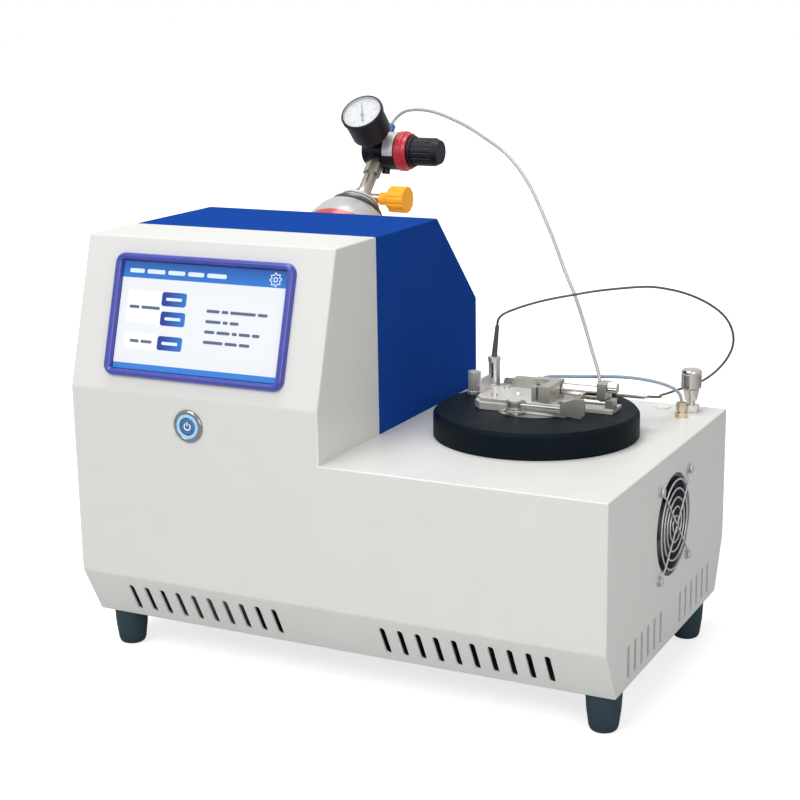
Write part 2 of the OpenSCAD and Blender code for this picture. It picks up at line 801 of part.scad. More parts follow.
module side_knob() color(steel) on_disk() translate([side_u, side_v, 0]) difference() {
    union() {
        rod(6.2, 0.4, 3);
        fluted(5.4, 2.9, 19.6, 16, 0.8);
    }
    rod(pin_r + fit, 0, 15.3);
}

module probe_holder() color(steel) on_disk() translate([probe_u, probe_v, 0]) difference() {
    union() {
        rod(5.6, plate_top, plate_top + 3);
        rod(4.75, plate_top + 2, 32);
        rod(5.2, 28, 32);
    }
    rod(2.1, plate_top + 1, 33);
    slab([-0.9, 0.9], [-6, 0], [14, 27]);
}

relief_l = 26;
relief_lean = 6;

module flash_probe() color(dark) on_disk() translate([probe_u, probe_v, 0]) {
    rod(1.8, plate_top + 1, 33);
    translate([0, 0, 32.3]) rotate([0, relief_lean, 0]) cylinder(r1 = 2.4, r2 = 1.6, h = relief_l);
}

module sensor_plug() color(steel) on_disk() translate([0, plug_v, plug_z]) along_x() {
    rod(2.5, 47.2, 76.5);
    rod(1.7, 76.4, 79);
}

module gas_elbow() color(brass) on_disk() translate([elbow_u, elbow_v, 0]) {
    hexagon(6, 3.6, 7);
    rod(2.4, 6.9, 12);
    rod(1.8, 11.9, elbow_top);
}

// ---- gas fittings on the deck -------------------------------------------------------

module valve_body() color(steel) datum() {
    translate([valve_x, valve_y, deck_z]) {
        hexagon(13, 0, 6);
        rod(3.6, 5.9, 9.5);
        translate([0, 0, 9.4]) cylinder(r1 = 5, r2 = 7, h = 10.1);
        rod(2.5, 19.4, 30);
        rod(valve_hole_r - 0.2, -12, eps);
        hexagon(15, -sheet - 5, -sheet);
    }
    slab([valve_x - 13, valve_x + 13], [brass_y - 10, valve_y + 9], [deck_z - 28, deck_z - 12]);
}

module valve_knob() color(steel) datum() translate([valve_x, valve_y, deck_z]) difference() {
    union() {
        fluted(8.5, 20, 33, 24, 0.8);
        rod(7.9, 32.9, 36.5);
    }
    rod(2.5 + fit, 19, 30.4);
}

brass_top = 12.6;

module tube_fitting() color(brass) datum() translate([brass_x, brass_y, deck_z]) {
    hexagon(9.2, 0, 4.2);
    rod(3.2, 4.1, 5.6);
    hexagon(7.6, 5.5, brass_top);
    rod(brass_hole_r - 0.2, -12, eps);
}

module deck_plug() color("white") datum() translate([plug_x, plug_y, deck_z]) {
    rod(7, 0, 1.4);
    rod(plug_hole_r - 0.2, -4, eps);
}

// ---- gas canister and regulator -----------------------------------------------------

neck_z = 55.5;
canister_knob_z = 62;
stem_z = 68;
nut_z = 89;
port_half = 14;
can_wall = 1.5;
shoulder = [for (a = [0 : 15 : 75])
    [canister_r - 22 + 22 * cos(a), 3 + 43 * sin(a)]];

module gas_well() color(steel) on_slope() {
    difference() {
        union() {
            rod(well_r + well_wall, -well_l - well_wall, -sheet);
            rod(52, -sheet - 1.5, -sheet);
        }
        rod(well_r, -canister_l, 1);
    }
    for (a = [30, 150, 270]) rotate([0, 0, a])
        slab([canister_r + 0.1, well_r + 0.5], [-2, 2], [-canister_l, -6]);
}

module gas_canister() color("white") on_slope() rotate_extrude() difference() {
    polygon(concat(
        [[0, -canister_l], [canister_r - 2, -canister_l], [canister_r, -canister_l + 2]],
        shoulder,
        [[24.6, 45], [24.6, 48], [21.5, 49.5], [18.4, 54], [19, 54.6], [19, 56.6], [17, 57],
         [16, neck_z], [0, neck_z]]
    ));
    polygon([
        [-1, can_wall - canister_l], [canister_r - 3.5, can_wall - canister_l],
        [canister_r - can_wall, can_wall + 2 - canister_l], [canister_r - can_wall, 2],
        [canister_r - can_wall - 4, 21], [21, 39], [14, 45], [-1, 45]
    ]);
}

module canister_valve() color(steel) on_slope() {
    rod(11, neck_z, neck_z + 2);
    rod(8, neck_z + 1.9, stem_z);
    rod(6.1, stem_z - eps, nut_z - 2.9);
    rod(4.6, nut_z - 3, nut_z);
    hexagon(14, nut_z - 0.1, nut_z + 12.3);
    rod(4.8, nut_z + 12.2, regulator_s - port_half);
    translate([0, 0, canister_knob_z]) along_x() {
        rod(4.3, 0, 19.4);
        rod(2, 19, 27);
    }
}

module canister_knob() color(yellow) on_slope() translate([0, 0, canister_knob_z]) along_x()
    difference() {
        union() {
            rod(5.7, 19.8, 27);
            translate([0, 0, 25]) cylinder(r1 = 5.7, r2 = 10.5, h = 6);
            fluted(11.9, 30.9, 47.2, 12, 1.6);
        }
        rod(2 + fit, 19, 27.4);
    }

// distance of the regulator's wide end from the canister's axis
bonnet_x = 8.4;
// side port's plug, beside the canister's adaptor
plug_u = 6.5;

module on_bonnet() on_regulator() translate([0, 0, bonnet_x]) children();

module regulator_body() color(black) {
    on_regulator() rod(13.2, -13.8, bonnet_x + 0.1);
    on_bonnet() {
        rod(17.4, 0, 12.5);
        rod(13.7, 12.4, 23.1);
        rod(3, 23, 38.1);
    }
    on_slope() {
        hexagon(16.6, regulator_s - port_half, regulator_s + port_half);
        translate([0, 0, regulator_s]) rotate([90, 0, 0]) rod(7, 0, 20);
        translate([plug_u, 0, regulator_s]) rotate([216, 0, 0]) rod(3.7, 0, 21.5);
    }
}

module lock_ring() color(red) on_bonnet() difference() {
    union() {
        rod(18.3, 12.8, 19.6);
        rod(16.6, 19.5, 23.7);
    }
    rod(13.7 + gap, 12, 24.1);
}

module regulator_knob() color(black) on_bonnet() difference() {
    union() {
        rod(14.2, 24.1, 27.1);
        fluted(12.9, 27, 48.1, 16, 1.2);
        translate([0, 0, 48]) cylinder(r1 = 12.9, r2 = 10.6, h = 5.2);
    }
    rod(3 + fit, 23, 38.6);
}

gauge_turn = 22;
gauge_r = gauge_d / 2;
gauge_front = 54;
lens_r = gauge_r - 1.9;
hub_y = -2.5;

module gauge_case() color(black) on_gauge() difference() {
    rotate_extrude() polygon([
        [0, 20], [7, 20], [10, 21.5], [gauge_r - 4, 23.5], [gauge_r - 1.6, 27],
        [gauge_r - 1.4, gauge_front - 5.5], [gauge_r, gauge_front - 4.5],
        [gauge_r, gauge_front - 0.8],
        [gauge_r - 0.8, gauge_front], [0, gauge_front]
    ]);
    rod(lens_r + 0.1, gauge_front - 1.2, gauge_front + 1);
    rod(lens_r - 0.5, gauge_front - 3.6, gauge_front + 1);
    translate([0, hub_y, 0]) rod(0.8 + fit, gauge_front - 8, gauge_front);
}

module gauge_dial() color("white") on_gauge() difference() {
    rod(lens_r - 0.6, gauge_front - 3.6, gauge_front - 3);
    translate([0, hub_y, 0]) rod(1.1, gauge_front - 4, gauge_front - 2);
}

module gauge_needle() color(black) on_gauge() translate([0, hub_y, 0]) {
    rod(0.8, gauge_front - 7.6, gauge_front - 2);
    rod(1.8, gauge_front - 2.6, gauge_front - 1.7);
    translate([0, 0, gauge_front - 2.5]) linear_extrude(0.5)
        polygon([[-1.1, -8], [1.1, -8], [0.8, 0], [0.3, 15.3], [-0.3, 15.3], [-0.8, 0]]);
}

module gauge_lens() color([0.8, 0.9, 1, 0.3]) on_gauge()
    rod(lens_r, gauge_front - 1.2, gauge_front - 0.2);

module outlet_fitting() color("#3f62b5") on_slope() translate([0, 0, regulator_s]) {
    rod(4.6, port_half, 22);
    hexagon(9, 21.9, 25);
    rod(4.4, 24.9, 30);
}

// ---- hoses and lead -----------------------------------------------------------------

hose_r = 1.5;
feed_r = 1.4;
lead_r = 1;

// from the regulator's outlet over to the brass elbow behind the lid
gas_route = [
    [111, 360.5, 411.9], [111.7, 363.3, 415.4], [113.8, 365.2, 418.9], [117.2, 365.8, 422],
    [121.6, 364.8, 424.5], [127.4, 361.8, 426.4], [135.5, 356.6, 427.8], [146, 349, 428.7],
    [160, 338.7, 428.9], [178, 325.8, 427.4], [200, 312, 423], [220, 300, 417.5],
    [239, 290, 410], [263, 276, 400], [282, 265, 386.5], [297, 256.5, 370.5], [309, 249, 353.5],
    [322.5, 241.5, 332], [335.5, 233.5, 308.5], [347.5, 225.5, 290.5], [358.5, 219, 268.5],
    [368.5, 211.5, 247.5], [376, 205.5, 233], [380, 200.2, 224.4]
];
// from the brass fitting on the deck across the lid to the jet block
feed_route = [
    [433, 252, 200.2], [432.7, 251.7, 204.2], [431.3, 250.8, 208], [428.7, 249.1, 211.3],
    [425, 246.8, 214], [419, 243, 217], [410.5, 237.5, 220], [400, 230, 222.8],
    [388, 220.3, 225], [376, 208.8, 226.5], [364, 197.8, 227.8], [355, 189.9, 228.8],
    [349.6, 185.2, 229.5], [345.3, 180.8, 229.9], [342.7, 176.4, 230.1], [342, 172.4, 230.2]
];
// from the upright sensor over the deck and round behind the needle valve to the plug
lead_route = [
    [294.75, 187, 267.3], [295.3, 187.1, 271.5], [297.6, 187.9, 275.2], [301.6, 189.5, 278],
    [307.4, 192.1, 280.6], [316, 196.4, 283.8], [330, 204.2, 287.8], [350, 216, 291.6],
    [371, 230, 294.6], [400, 250, 296], [417, 262, 293], [432, 274, 287], [446.4, 284, 278],
    [457, 291.6, 267], [462, 297, 254], [461.6, 300, 241], [456, 301.2, 228.6],
    [447, 300, 217.4], [437.4, 295.4, 209.8], [429, 285, 206.8], [423.6, 270, 206.2],
    [420.8, 252, 207], [420.8, 236, 209.2], [423.6, 223, 211.6], [427, 214.6, 213.4],
    [428.8, 208.6, 214.6], [428, 203.6, 215.5], [424.8, 200.7, 215.9], [420.4, 200, 216]
];

module gas_tube() color("#b9c2c4") datum() hose(gas_route, hose_r, 8, 2);
module blue_tube() color("#7fb4d8") datum() hose(feed_route, feed_r, 8, 2);
module sensor_lead() color(dark) datum() hose(lead_route, lead_r, 8, 1);

// ---- build --------------------------------------------------------------------------

front_shell();
rear_cover();
base_plate();
feet();
foot_screws();
display_bezel();
touchscreen();
display_board();
power_button_body();
power_button_cap();
fan_frame();
fan_rotor();
fan_guard();
fan_screws();
mains_inlet();
power_supply();
control_board();
insulating_disk();
cup_block();
cup_seal();
cooling_module();
heat_sink();
hinge_base();
hinge_pin();
hinge_leaf();
lid_plate();
lid_cover();
lid_screws();
shutter_slide();
slide_actuator();
jet_block();
gas_jet();
flame_screw();
clamp_studs();
lock_knob();
lock_lever();
side_knob();
probe_holder();
flash_probe();
sensor_plug();
gas_elbow();
valve_body();
valve_knob();
tube_fitting();
deck_plug();
gas_well();
gas_canister();
canister_valve();
canister_knob();
regulator_body();
lock_ring();
regulator_knob();
gauge_case();
gauge_dial();
gauge_needle();
gauge_lens();
outlet_fitting();
gas_tube();
blue_tube();
sensor_lead();
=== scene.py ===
"""Dresses the flash point tester: camera, light, finishes and the detail pieces on its solids."""

import json
import logging
import math
from collections.abc import Iterable
from dataclasses import dataclass
from enum import Enum, IntEnum

import bmesh
import bpy
from mathutils import Matrix, Vector

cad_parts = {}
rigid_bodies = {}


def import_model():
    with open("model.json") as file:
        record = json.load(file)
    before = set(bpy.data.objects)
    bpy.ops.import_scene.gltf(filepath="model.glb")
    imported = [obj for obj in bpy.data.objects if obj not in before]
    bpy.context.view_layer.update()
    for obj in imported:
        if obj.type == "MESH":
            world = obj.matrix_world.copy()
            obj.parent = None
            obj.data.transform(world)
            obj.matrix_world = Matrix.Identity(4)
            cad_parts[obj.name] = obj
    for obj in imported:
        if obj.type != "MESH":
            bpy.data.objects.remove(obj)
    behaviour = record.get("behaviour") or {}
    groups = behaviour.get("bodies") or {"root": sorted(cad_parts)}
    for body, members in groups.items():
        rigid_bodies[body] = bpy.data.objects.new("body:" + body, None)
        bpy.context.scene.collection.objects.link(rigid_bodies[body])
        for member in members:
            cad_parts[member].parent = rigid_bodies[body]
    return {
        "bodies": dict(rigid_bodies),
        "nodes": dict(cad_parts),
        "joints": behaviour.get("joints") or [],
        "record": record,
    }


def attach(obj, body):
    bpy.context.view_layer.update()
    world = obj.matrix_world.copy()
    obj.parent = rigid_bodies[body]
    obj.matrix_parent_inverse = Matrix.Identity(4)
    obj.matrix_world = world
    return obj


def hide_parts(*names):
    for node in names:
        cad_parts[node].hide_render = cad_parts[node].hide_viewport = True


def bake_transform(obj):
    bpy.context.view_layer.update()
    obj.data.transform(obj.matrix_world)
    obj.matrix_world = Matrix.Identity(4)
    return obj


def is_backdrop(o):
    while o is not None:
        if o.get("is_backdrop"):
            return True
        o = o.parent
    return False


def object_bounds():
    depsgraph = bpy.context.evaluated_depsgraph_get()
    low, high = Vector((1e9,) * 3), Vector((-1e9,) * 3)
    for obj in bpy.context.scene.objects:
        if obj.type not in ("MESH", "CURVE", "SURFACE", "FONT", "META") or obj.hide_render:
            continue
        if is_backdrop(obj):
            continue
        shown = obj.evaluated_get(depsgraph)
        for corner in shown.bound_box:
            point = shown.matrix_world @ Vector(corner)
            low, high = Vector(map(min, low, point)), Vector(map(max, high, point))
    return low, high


LOG = logging.getLogger("flash_point_tester")
Point = tuple[float, float, float]
Flat = tuple[float, float]

MM = 0.001
MIDDLE = Vector((232.0, 182.15, 0.0))
FOOT_H = 31.0
BODY_W, BODY_D = 460.0, 294.0
TOWER_W, TOWER_H, DECK_H = 228.0, 318.0, 157.0
PANEL_IN, FOLD_H = 36.0, 199.0
TOP_D, REAR_H = 215.0, 237.0
CHAMFER_IN, CHAMFER_H = 22.0, 42.0
REAR_CHAMFER_IN, REAR_CHAMFER_H = 20.0, 45.0
DISK_R, DISK_H = 83.0, 21.0
REGULATOR_S = 118.5
SHARP = 35.0
BEVEL_CORNER, FOLD_CORNER, BEZEL_CORNER = 40.0, 30.0, 50.0
WELD = 2e-6
FLAT_ANGLE = 0.6
GRAIN_SHARE = 0.6
DRIFT_SCALE = 28.0
NOISE_LOW, NOISE_HIGH = 0.3, 0.7
ROUGH_SPREAD = 0.2
RELIEF_DEPTH = 0.0006
COAT_ROUGHNESS = 0.15


# ---- places -------------------------------------------------------------------------


@dataclass(frozen=True)
class Place:
    """Local axes in millimetres, set by an origin from the cabinet's front left bench corner."""

    origin: Point
    x: Point = (1.0, 0.0, 0.0)
    y: Point = (0.0, 1.0, 0.0)

    def turned(self) -> Matrix:
        """The local axes as the columns of a 3x3 matrix."""
        x, y = Vector(self.x).normalized(), Vector(self.y).normalized()
        return Matrix((x, y, x.cross(y))).transposed()

    def matrix(self) -> Matrix:
        """Takes local millimetres to the row frame's metres.

        Returns:
            The 4x4 matrix.
        """
        m = self.turned().to_4x4()
        m.translation = Vector(self.origin) - MIDDLE
        return Matrix.Scale(MM, 4) @ m

    def point(self, x: float, y: float, z: float) -> Vector:
        """Gives a local point in the row frame.

        Args:
            x: Local x in millimetres.
            y: Local y in millimetres.
            z: Local z in millimetres.

        Returns:
            The point in metres.
        """
        return self.matrix() @ Vector((x, y, z))

    def at(self, x: float, y: float, z: float) -> "Place":
        """The same axes with their origin moved to a local point."""
        moved = Vector(self.origin) + self.turned() @ Vector((x, y, z))
        return Place(tuple(moved), self.x, self.y)

    def facing(self, x: Point, y: Point) -> "Place":
        """The same origin with new axes, given in the local ones."""
        turned = self.turned()
        return Place(self.origin, tuple(turned @ Vector(x)), tuple(turned @ Vector(y)))


LEAN = math.atan2(PANEL_IN, TOWER_H - FOLD_H)
SLOPE = math.atan2(TOWER_H - REAR_H, BODY_D - TOP_D)
GAUGE_TURN = math.radians(22.0)
BENCH = Place((0.0, 0.0, 0.0))
DISK = Place(((TOWER_W + BODY_W) / 2 - 2.0, 156.0, FOOT_H + DECK_H + DISK_H))
PANEL = Place((0.0, 0.0, FOOT_H + FOLD_H), y=(0.0, math.sin(LEAN), math.cos(LEAN)))
BUTTON = Place((112.0, 0.0, FOOT_H + 176.5), y=(0.0, 0.0, 1.0))
FAN = Place((BODY_W, 151.0, FOOT_H + 97.0), x=(0.0, 1.0, 0.0), y=(0.0, 0.0, 1.0))
VALVE = Place((434.5, 274.0, FOOT_H + DECK_H))
REAR = Place((111.0, (TOP_D + BODY_D) / 2, FOOT_H + (TOWER_H + REAR_H) / 2),
             y=(0.0, math.cos(SLOPE), -math.sin(SLOPE)))
REGULATOR = REAR.at(0.0, 0.0, REGULATOR_S).facing((0.0, 0.0, -1.0), (0.0, 1.0, 0.0))
GAUGE = REAR.at(0.0, 0.0, REGULATOR_S).facing(
    (math.cos(GAUGE_TURN), 0.0, math.sin(GAUGE_TURN)),
    (-math.sin(GAUGE_TURN), 0.0, math.cos(GAUGE_TURN)),
)


# ---- nodes --------------------------------------------------------------------------


class Nodes:
    """A node tree that grows one call at a time."""

    family = "ShaderNode"

    def __init__(self, tree: bpy.types.NodeTree) -> None:
        """Starts with an empty tree.

        Args:
            tree: The tree, which is cleared.
        """
        self.tree = tree
        tree.nodes.clear()

    def new(self, kind: str, sockets: dict | None = None, **settings: object) -> bpy.types.Node:
        """Adds a node.

        Args:
            kind: The node's full type name.
            sockets: Input name or number to a value or to the output that feeds it.
            **settings: The node's own properties.

        Returns:
            The new node.
        """
        node = self.tree.nodes.new(kind)
        for key, value in settings.items():
            setattr(node, key, value)
        for key, value in (sockets or {}).items():
            if isinstance(value, bpy.types.NodeSocket):
                self.tree.links.new(value, node.inputs[key])
            else:
                node.inputs[key].default_value = value
        return node

    def add(self, kind: str, sockets: dict | None = None, **settings: object) -> bpy.types.Node:
        """Adds a node of the tree's own family, named without its prefix."""
        return self.new(self.family + kind, sockets, **settings)

    def math(self, operation: str, a: object, b: object = 0.0) -> bpy.types.NodeSocket:
        """One sum of two values or sockets."""
        return self.new("ShaderNodeMath", {0: a, 1: b}, operation=operation).outputs[0]


class Graph(Nodes):
    """A material's nodes."""

    def __init__(self, name: str) -> None:
        """Starts an empty material.

        Args:
            name: The material's name.
        """
        self.material = bpy.data.materials.new(name)
        self.material.use_nodes = True
        super().__init__(self.material.node_tree)

    def spot(self) -> bpy.types.NodeSocket:
        """Coordinates in the row frame's metres."""
        return self.add("TexCoord").outputs["Object"]

    def local(self, place: Place) -> bpy.types.NodeSocket:
        """Gives coordinates in a place's own millimetres.

        Args:
            place: The place.

        Returns:
            The coordinate socket.
        """
        back = place.turned().transposed()
        shift = back @ (Vector(place.origin) - MIDDLE)
        return self.add("Mapping", {
            "Vector": self.spot(), "Scale": (1.0 / MM,) * 3,
            "Rotation": tuple(back.to_euler()), "Location": tuple(-shift),
        }).outputs[0]

    def noise(self, spot: bpy.types.NodeSocket, scale: float, detail: float
              ) -> bpy.types.NodeSocket:
        """Smooth noise from 0 to 1."""
        return self.add(
            "TexNoise", {"Vector": spot, "Scale": scale, "Detail": detail}).outputs[0]

    def blend(self, factor: object, a: object, b: object) -> bpy.types.NodeSocket:
        """A colour between a and b."""
        return self.add("Mix", {0: factor, 6: a, 7: b}, data_type="RGBA").outputs[2]

    def close(self, shader: bpy.types.Node) -> bpy.types.Material:
        """Joins the shader to the output and gives the material."""
        self.add("OutputMaterial", {"Surface": shader.outputs[0]})
        return self.material


# ---- finishes -----------------------------------------------------------------------


class Skin(Enum):
    """How a surface's small relief runs."""

    POWDER = ((1.0, 1.0, 1.0), 850.0, 0.1)
    MOULDED = ((1.0, 1.0, 1.0), 1600.0, 0.08)
    RUBBER = ((1.0, 1.0, 1.0), 1100.0, 0.16)
    ALONG_X = ((0.06, 1.0, 1.0), 1800.0, 0.04)
    ALONG_Z = ((1.0, 1.0, 0.06), 1800.0, 0.04)
    POLISHED = ((1.0, 1.0, 1.0), 420.0, 0.02)


def rgba(color: Point) -> tuple[float, float, float, float]:
    """A colour with full alpha."""
    return (*color, 1.0)


@dataclass(frozen=True)
class Finish:
    """A surface finish with its own grain, drift of colour and gloss."""

    name: str
    color: Point
    skin: Skin = Skin.MOULDED
    roughness: float = 0.5
    metallic: float = 0.0
    drift: float = 0.08
    coat: float = 0.0
    clear: float = 0.0
    glow: float = 0.0
    gloss: float = 0.5

    def tint(self, graph: Graph, wide: bpy.types.NodeSocket) -> bpy.types.NodeSocket:
        """The surface colour.

        Args:
            graph: The material's nodes.
            wide: A slow noise from 0 to 1.

        Returns:
            The colour socket.
        """
        dark = rgba(tuple(c * (1.0 - self.drift) for c in self.color))
        light = rgba(tuple(min(1.0, c * (1.0 + self.drift)) for c in self.color))
        return graph.blend(wide, dark, light)

    def material(self) -> bpy.types.Material:
        """Makes the finish's material once.

        Returns:
            The material.
        """
        made = bpy.data.materials.get(self.name)
        if made:
            return made
        graph = Graph(self.name)
        stretch, scale, relief = self.skin.value
        spot = graph.spot()
        run = graph.add("Mapping", {"Vector": spot, "Scale": stretch}).outputs[0]
        grain = graph.noise(run, scale, 3.0)
        wide = graph.noise(spot, DRIFT_SCALE, 4.0)
        worn = graph.math("ADD", graph.math("MULTIPLY", grain, GRAIN_SHARE),
                          graph.math("MULTIPLY", wide, 1.0 - GRAIN_SHARE))
        rough = graph.add("MapRange", {
            0: worn, 1: NOISE_LOW, 2: NOISE_HIGH, 3: self.roughness * (1.0 - ROUGH_SPREAD),
            4: min(1.0, self.roughness * (1.0 + ROUGH_SPREAD)),
        }).outputs[0]
        bump = graph.add("Bump", {"Height": grain, "Strength": relief, "Distance": RELIEF_DEPTH})
        shader = graph.add("BsdfPrincipled", {
            "Base Color": self.tint(graph, wide), "Roughness": rough,
            "Metallic": self.metallic, "Normal": bump.outputs[0],
            "Coat Weight": self.coat, "Coat Roughness": COAT_ROUGHNESS,
            "Transmission Weight": self.clear, "Specular IOR Level": self.gloss,
        })
        if self.glow:
            shader.inputs["Emission Color"].default_value = rgba(self.color)
            shader.inputs["Emission Strength"].default_value = self.glow
        return graph.close(shader)


@dataclass(frozen=True)
class Bands(Finish):
    """A finish with stripes of other colours across one local axis of a place."""

    place: Place = BENCH
    axis: int = 2
    stops: tuple[tuple[float, Point], ...] = ()
    soft: float = 0.15

    def tint(self, graph: Graph, wide: bpy.types.NodeSocket) -> bpy.types.NodeSocket:
        """The base colour, changed to each stop's colour above its height in millimetres.

        Args:
            graph: The material's nodes.
            wide: A slow noise from 0 to 1.

        Returns:
            The colour socket.
        """
        color = super().tint(graph, wide)
        where = graph.add("SeparateXYZ", {0: graph.local(self.place)}).outputs[self.axis]
        for height, stripe in self.stops:
            above = graph.add("MapRange", {
                0: where, 1: height - self.soft, 2: height + self.soft}).outputs[0]
            color = graph.blend(above, color, rgba(stripe))
        return color


WHITE_COAT = Finish("white_powder_coat", (0.78, 0.78, 0.755), Skin.POWDER, 0.42, drift=0.02)
BLUE_COAT = Finish("blue_powder_coat", (0.013, 0.066, 0.35), Skin.POWDER, 0.5, drift=0.05,
                   gloss=0.0)
BEZEL_BLUE = Finish("bezel_blue", (0.045, 0.06, 0.4), Skin.MOULDED, 0.28, coat=0.4)
FOOT_SLATE = Finish("foot_slate", (0.03, 0.055, 0.074), Skin.RUBBER, 0.6, drift=0.15,
                    gloss=0.2)
DISK_SLATE = Finish("disk_slate", (0.004, 0.008, 0.012), Skin.RUBBER, 0.5, drift=0.2,
                    gloss=0.06)
BLACK = Finish("black_moulding", (0.008, 0.011, 0.0165), Skin.MOULDED, 0.38, drift=0.15,
               gloss=0.3)
DEEP_BLACK = Finish("black_rubber", (0.01, 0.01, 0.011), Skin.RUBBER, 0.55, drift=0.15)
STEEL = Finish("brushed_steel", (0.73, 0.715, 0.685), Skin.ALONG_X, 0.36, 0.62)
UPRIGHT_STEEL = Finish("turned_steel", (0.72, 0.71, 0.68), Skin.ALONG_Z, 0.3, 0.75)
BLOCK_STEEL = Finish("milled_steel", (0.5, 0.485, 0.455), Skin.ALONG_Z, 0.36, 1.0)
NICKEL = Finish("nickel", (0.64, 0.62, 0.58), Skin.POLISHED, 0.16, 1.0, drift=0.04)
SATIN_STEEL = Finish("satin_steel", (0.4, 0.4, 0.37), Skin.ALONG_X, 0.42, 1.0, drift=0.05)
WARM_NICKEL = Finish("warm_nickel", (0.5, 0.46, 0.39), Skin.POLISHED, 0.34, 1.0)
GUARD_WIRE = Finish("plated_wire", (0.6, 0.6, 0.59), Skin.POLISHED, 0.4, 0.7, drift=0.05)
FAN_SLATE = Finish("fan_slate", (0.06, 0.074, 0.092), Skin.MOULDED, 0.4, drift=0.15)
BRASS = Finish("pale_brass", (0.66, 0.56, 0.38), Skin.POLISHED, 0.24, 1.0)
ALLOY = Finish("turned_alloy", (0.62, 0.62, 0.61), Skin.ALONG_X, 0.34, 1.0)
ZINC = Finish("zinc_sheet", (0.5, 0.51, 0.52), Skin.POWDER, 0.42, 1.0, drift=0.15)
ANODISED = Finish("dark_anodised", (0.05, 0.058, 0.055), Skin.ALONG_X, 0.45, 0.3, drift=0.2)
BOARD = Finish("circuit_board", (0.015, 0.11, 0.05), Skin.MOULDED, 0.35, drift=0.2)
CERAMIC = Finish("ceramic", (0.75, 0.74, 0.7), Skin.MOULDED, 0.5)
WHITE_PLASTIC = Finish("white_plastic", (0.8, 0.8, 0.78), Skin.MOULDED, 0.35, coat=0.2)
# The orange knob's glow is painted light: the knob is no lamp, and its emission stands in for light
# falling on it.
ORANGE_WITH_PAINTED_GLOW = Finish("orange_moulding", (1.0, 0.4, 0.018), Skin.MOULDED, 0.35, coat=0.15,
                glow=0.26, gloss=0.3)
RED = Finish("red_moulding", (0.62, 0.025, 0.045), Skin.MOULDED, 0.32, coat=0.3)
OUTLET_BLUE = Finish("blue_collet", (0.08, 0.17, 0.5), Skin.MOULDED, 0.3)
DIAL = Finish("dial_paper", (0.78, 0.79, 0.8), Skin.MOULDED, 0.55, drift=0.02)
INK = Finish("ink_black", (0.015, 0.015, 0.018), Skin.MOULDED, 0.5)
RED_INK = Finish("ink_red", (0.6, 0.03, 0.03), Skin.MOULDED, 0.5)
GAUGE_GLASS = Finish("gauge_glass", (0.95, 0.97, 1.0), Skin.POLISHED, 0.04, drift=0.0, clear=0.96)
CLEAR_HOSE = Finish("clear_hose", (0.66, 0.66, 0.64), Skin.POLISHED, 0.2, clear=0.35, coat=0.3)
BLUE_HOSE = Finish("blue_hose", (0.42, 0.53, 0.64), Skin.POLISHED, 0.2, clear=0.3, coat=0.3)
LEAD = Finish("lead_jacket", (0.07, 0.07, 0.075), Skin.RUBBER, 0.35)
SLEEVE = Finish("lead_sleeve", (0.06, 0.075, 0.08), Skin.RUBBER, 0.42)
CAN_GREY, CAN_RED, CAN_RIM = (0.5, 0.5, 0.5), (0.6, 0.05, 0.05), (0.6, 0.59, 0.57)
CAN_SILVER = Bands(
    "can_paint", CAN_GREY, Skin.POLISHED, 0.3, drift=0.02, coat=0.4, place=REAR,
    stops=((-63.0, CAN_RED), (-11.0, CAN_GREY), (5.0, CAN_RED), (19.0, CAN_GREY),
           (40.0, (0.07, 0.065, 0.06)), (47.9, CAN_RIM), (53.0, (0.08, 0.075, 0.07)),
           (54.4, CAN_RIM)),
)
LABEL_SILVER = Finish("silver_label", (0.74, 0.74, 0.72), Skin.ALONG_X, 0.35, 0.3)
BUTTON_LIGHT = Finish("button_light", (0.26, 0.52, 0.78), Skin.POLISHED, 0.2, glow=0.4, drift=0.05)
# The button ring's dark steel colour is a painted reflection: it stands in for dark surroundings
# mirrored in the polished ring.
BUTTON_STEEL_PAINTED_DARK = Finish("button_steel", (0.3, 0.31, 0.315), Skin.POLISHED, 0.16, 1.0)
# The cap's blue tint is painted light: it stands in for the ring's blue light on the steel cap.
LIT_STEEL = Finish("lit_steel", (0.13, 0.22, 0.42), Skin.ALONG_X, 0.3, 0.7)
SYMBOL_LIGHT = Finish("symbol_light", (0.6, 0.8, 0.95), Skin.POLISHED, 0.3, glow=0.6)
SCREEN_GLASS = Finish("screen_glass", (0.01, 0.012, 0.02), Skin.POLISHED, 0.08)


class Ink(IntEnum):
    """The colours of the screen's picture, in the order of its material slots."""

    PAGE = 0
    HEADER = 1
    FOOTER = 2
    FIELD = 3
    KEY = 4
    LIGHT_WORD = 5
    DARK_WORD = 6


SCREEN_INKS = [
    Bands("screen_page", (0.72, 0.74, 0.77), roughness=0.12, glow=0.25, place=PANEL, axis=1,
          drift=0.01),
    # The header's darker top band is a painted shadow of the bezel falling on the screen.
    Bands("screen_header", (0.02, 0.16, 0.55), roughness=0.12, glow=0.25, place=PANEL, axis=1,
          drift=0.01, soft=5.0, stops=((99.0, (0.012, 0.075, 0.32)),)),
    Bands("screen_footer", (0.03, 0.2, 0.6), roughness=0.12, glow=0.25, place=PANEL, axis=1,
          drift=0.01),
    Finish("screen_field", (0.8, 0.8, 0.82), roughness=0.12, glow=0.3),
    Bands("screen_key", (0.015, 0.04, 0.3), roughness=0.12, glow=0.2, place=PANEL, axis=0,
          drift=0.01, soft=9.0, stops=((92.0, (0.02, 0.2, 0.6)),)),
    Finish("screen_light_word", (0.65, 0.75, 0.88), roughness=0.12, glow=0.25),
    Finish("screen_dark_word", (0.1, 0.14, 0.24), roughness=0.12, glow=0.1),
]


# ---- shapes -------------------------------------------------------------------------


def polar(r: float, a: float, z: float = 0.0) -> Point:
    """The point at a radius, an angle in radians and a height."""
    return r * math.cos(a), r * math.sin(a), z


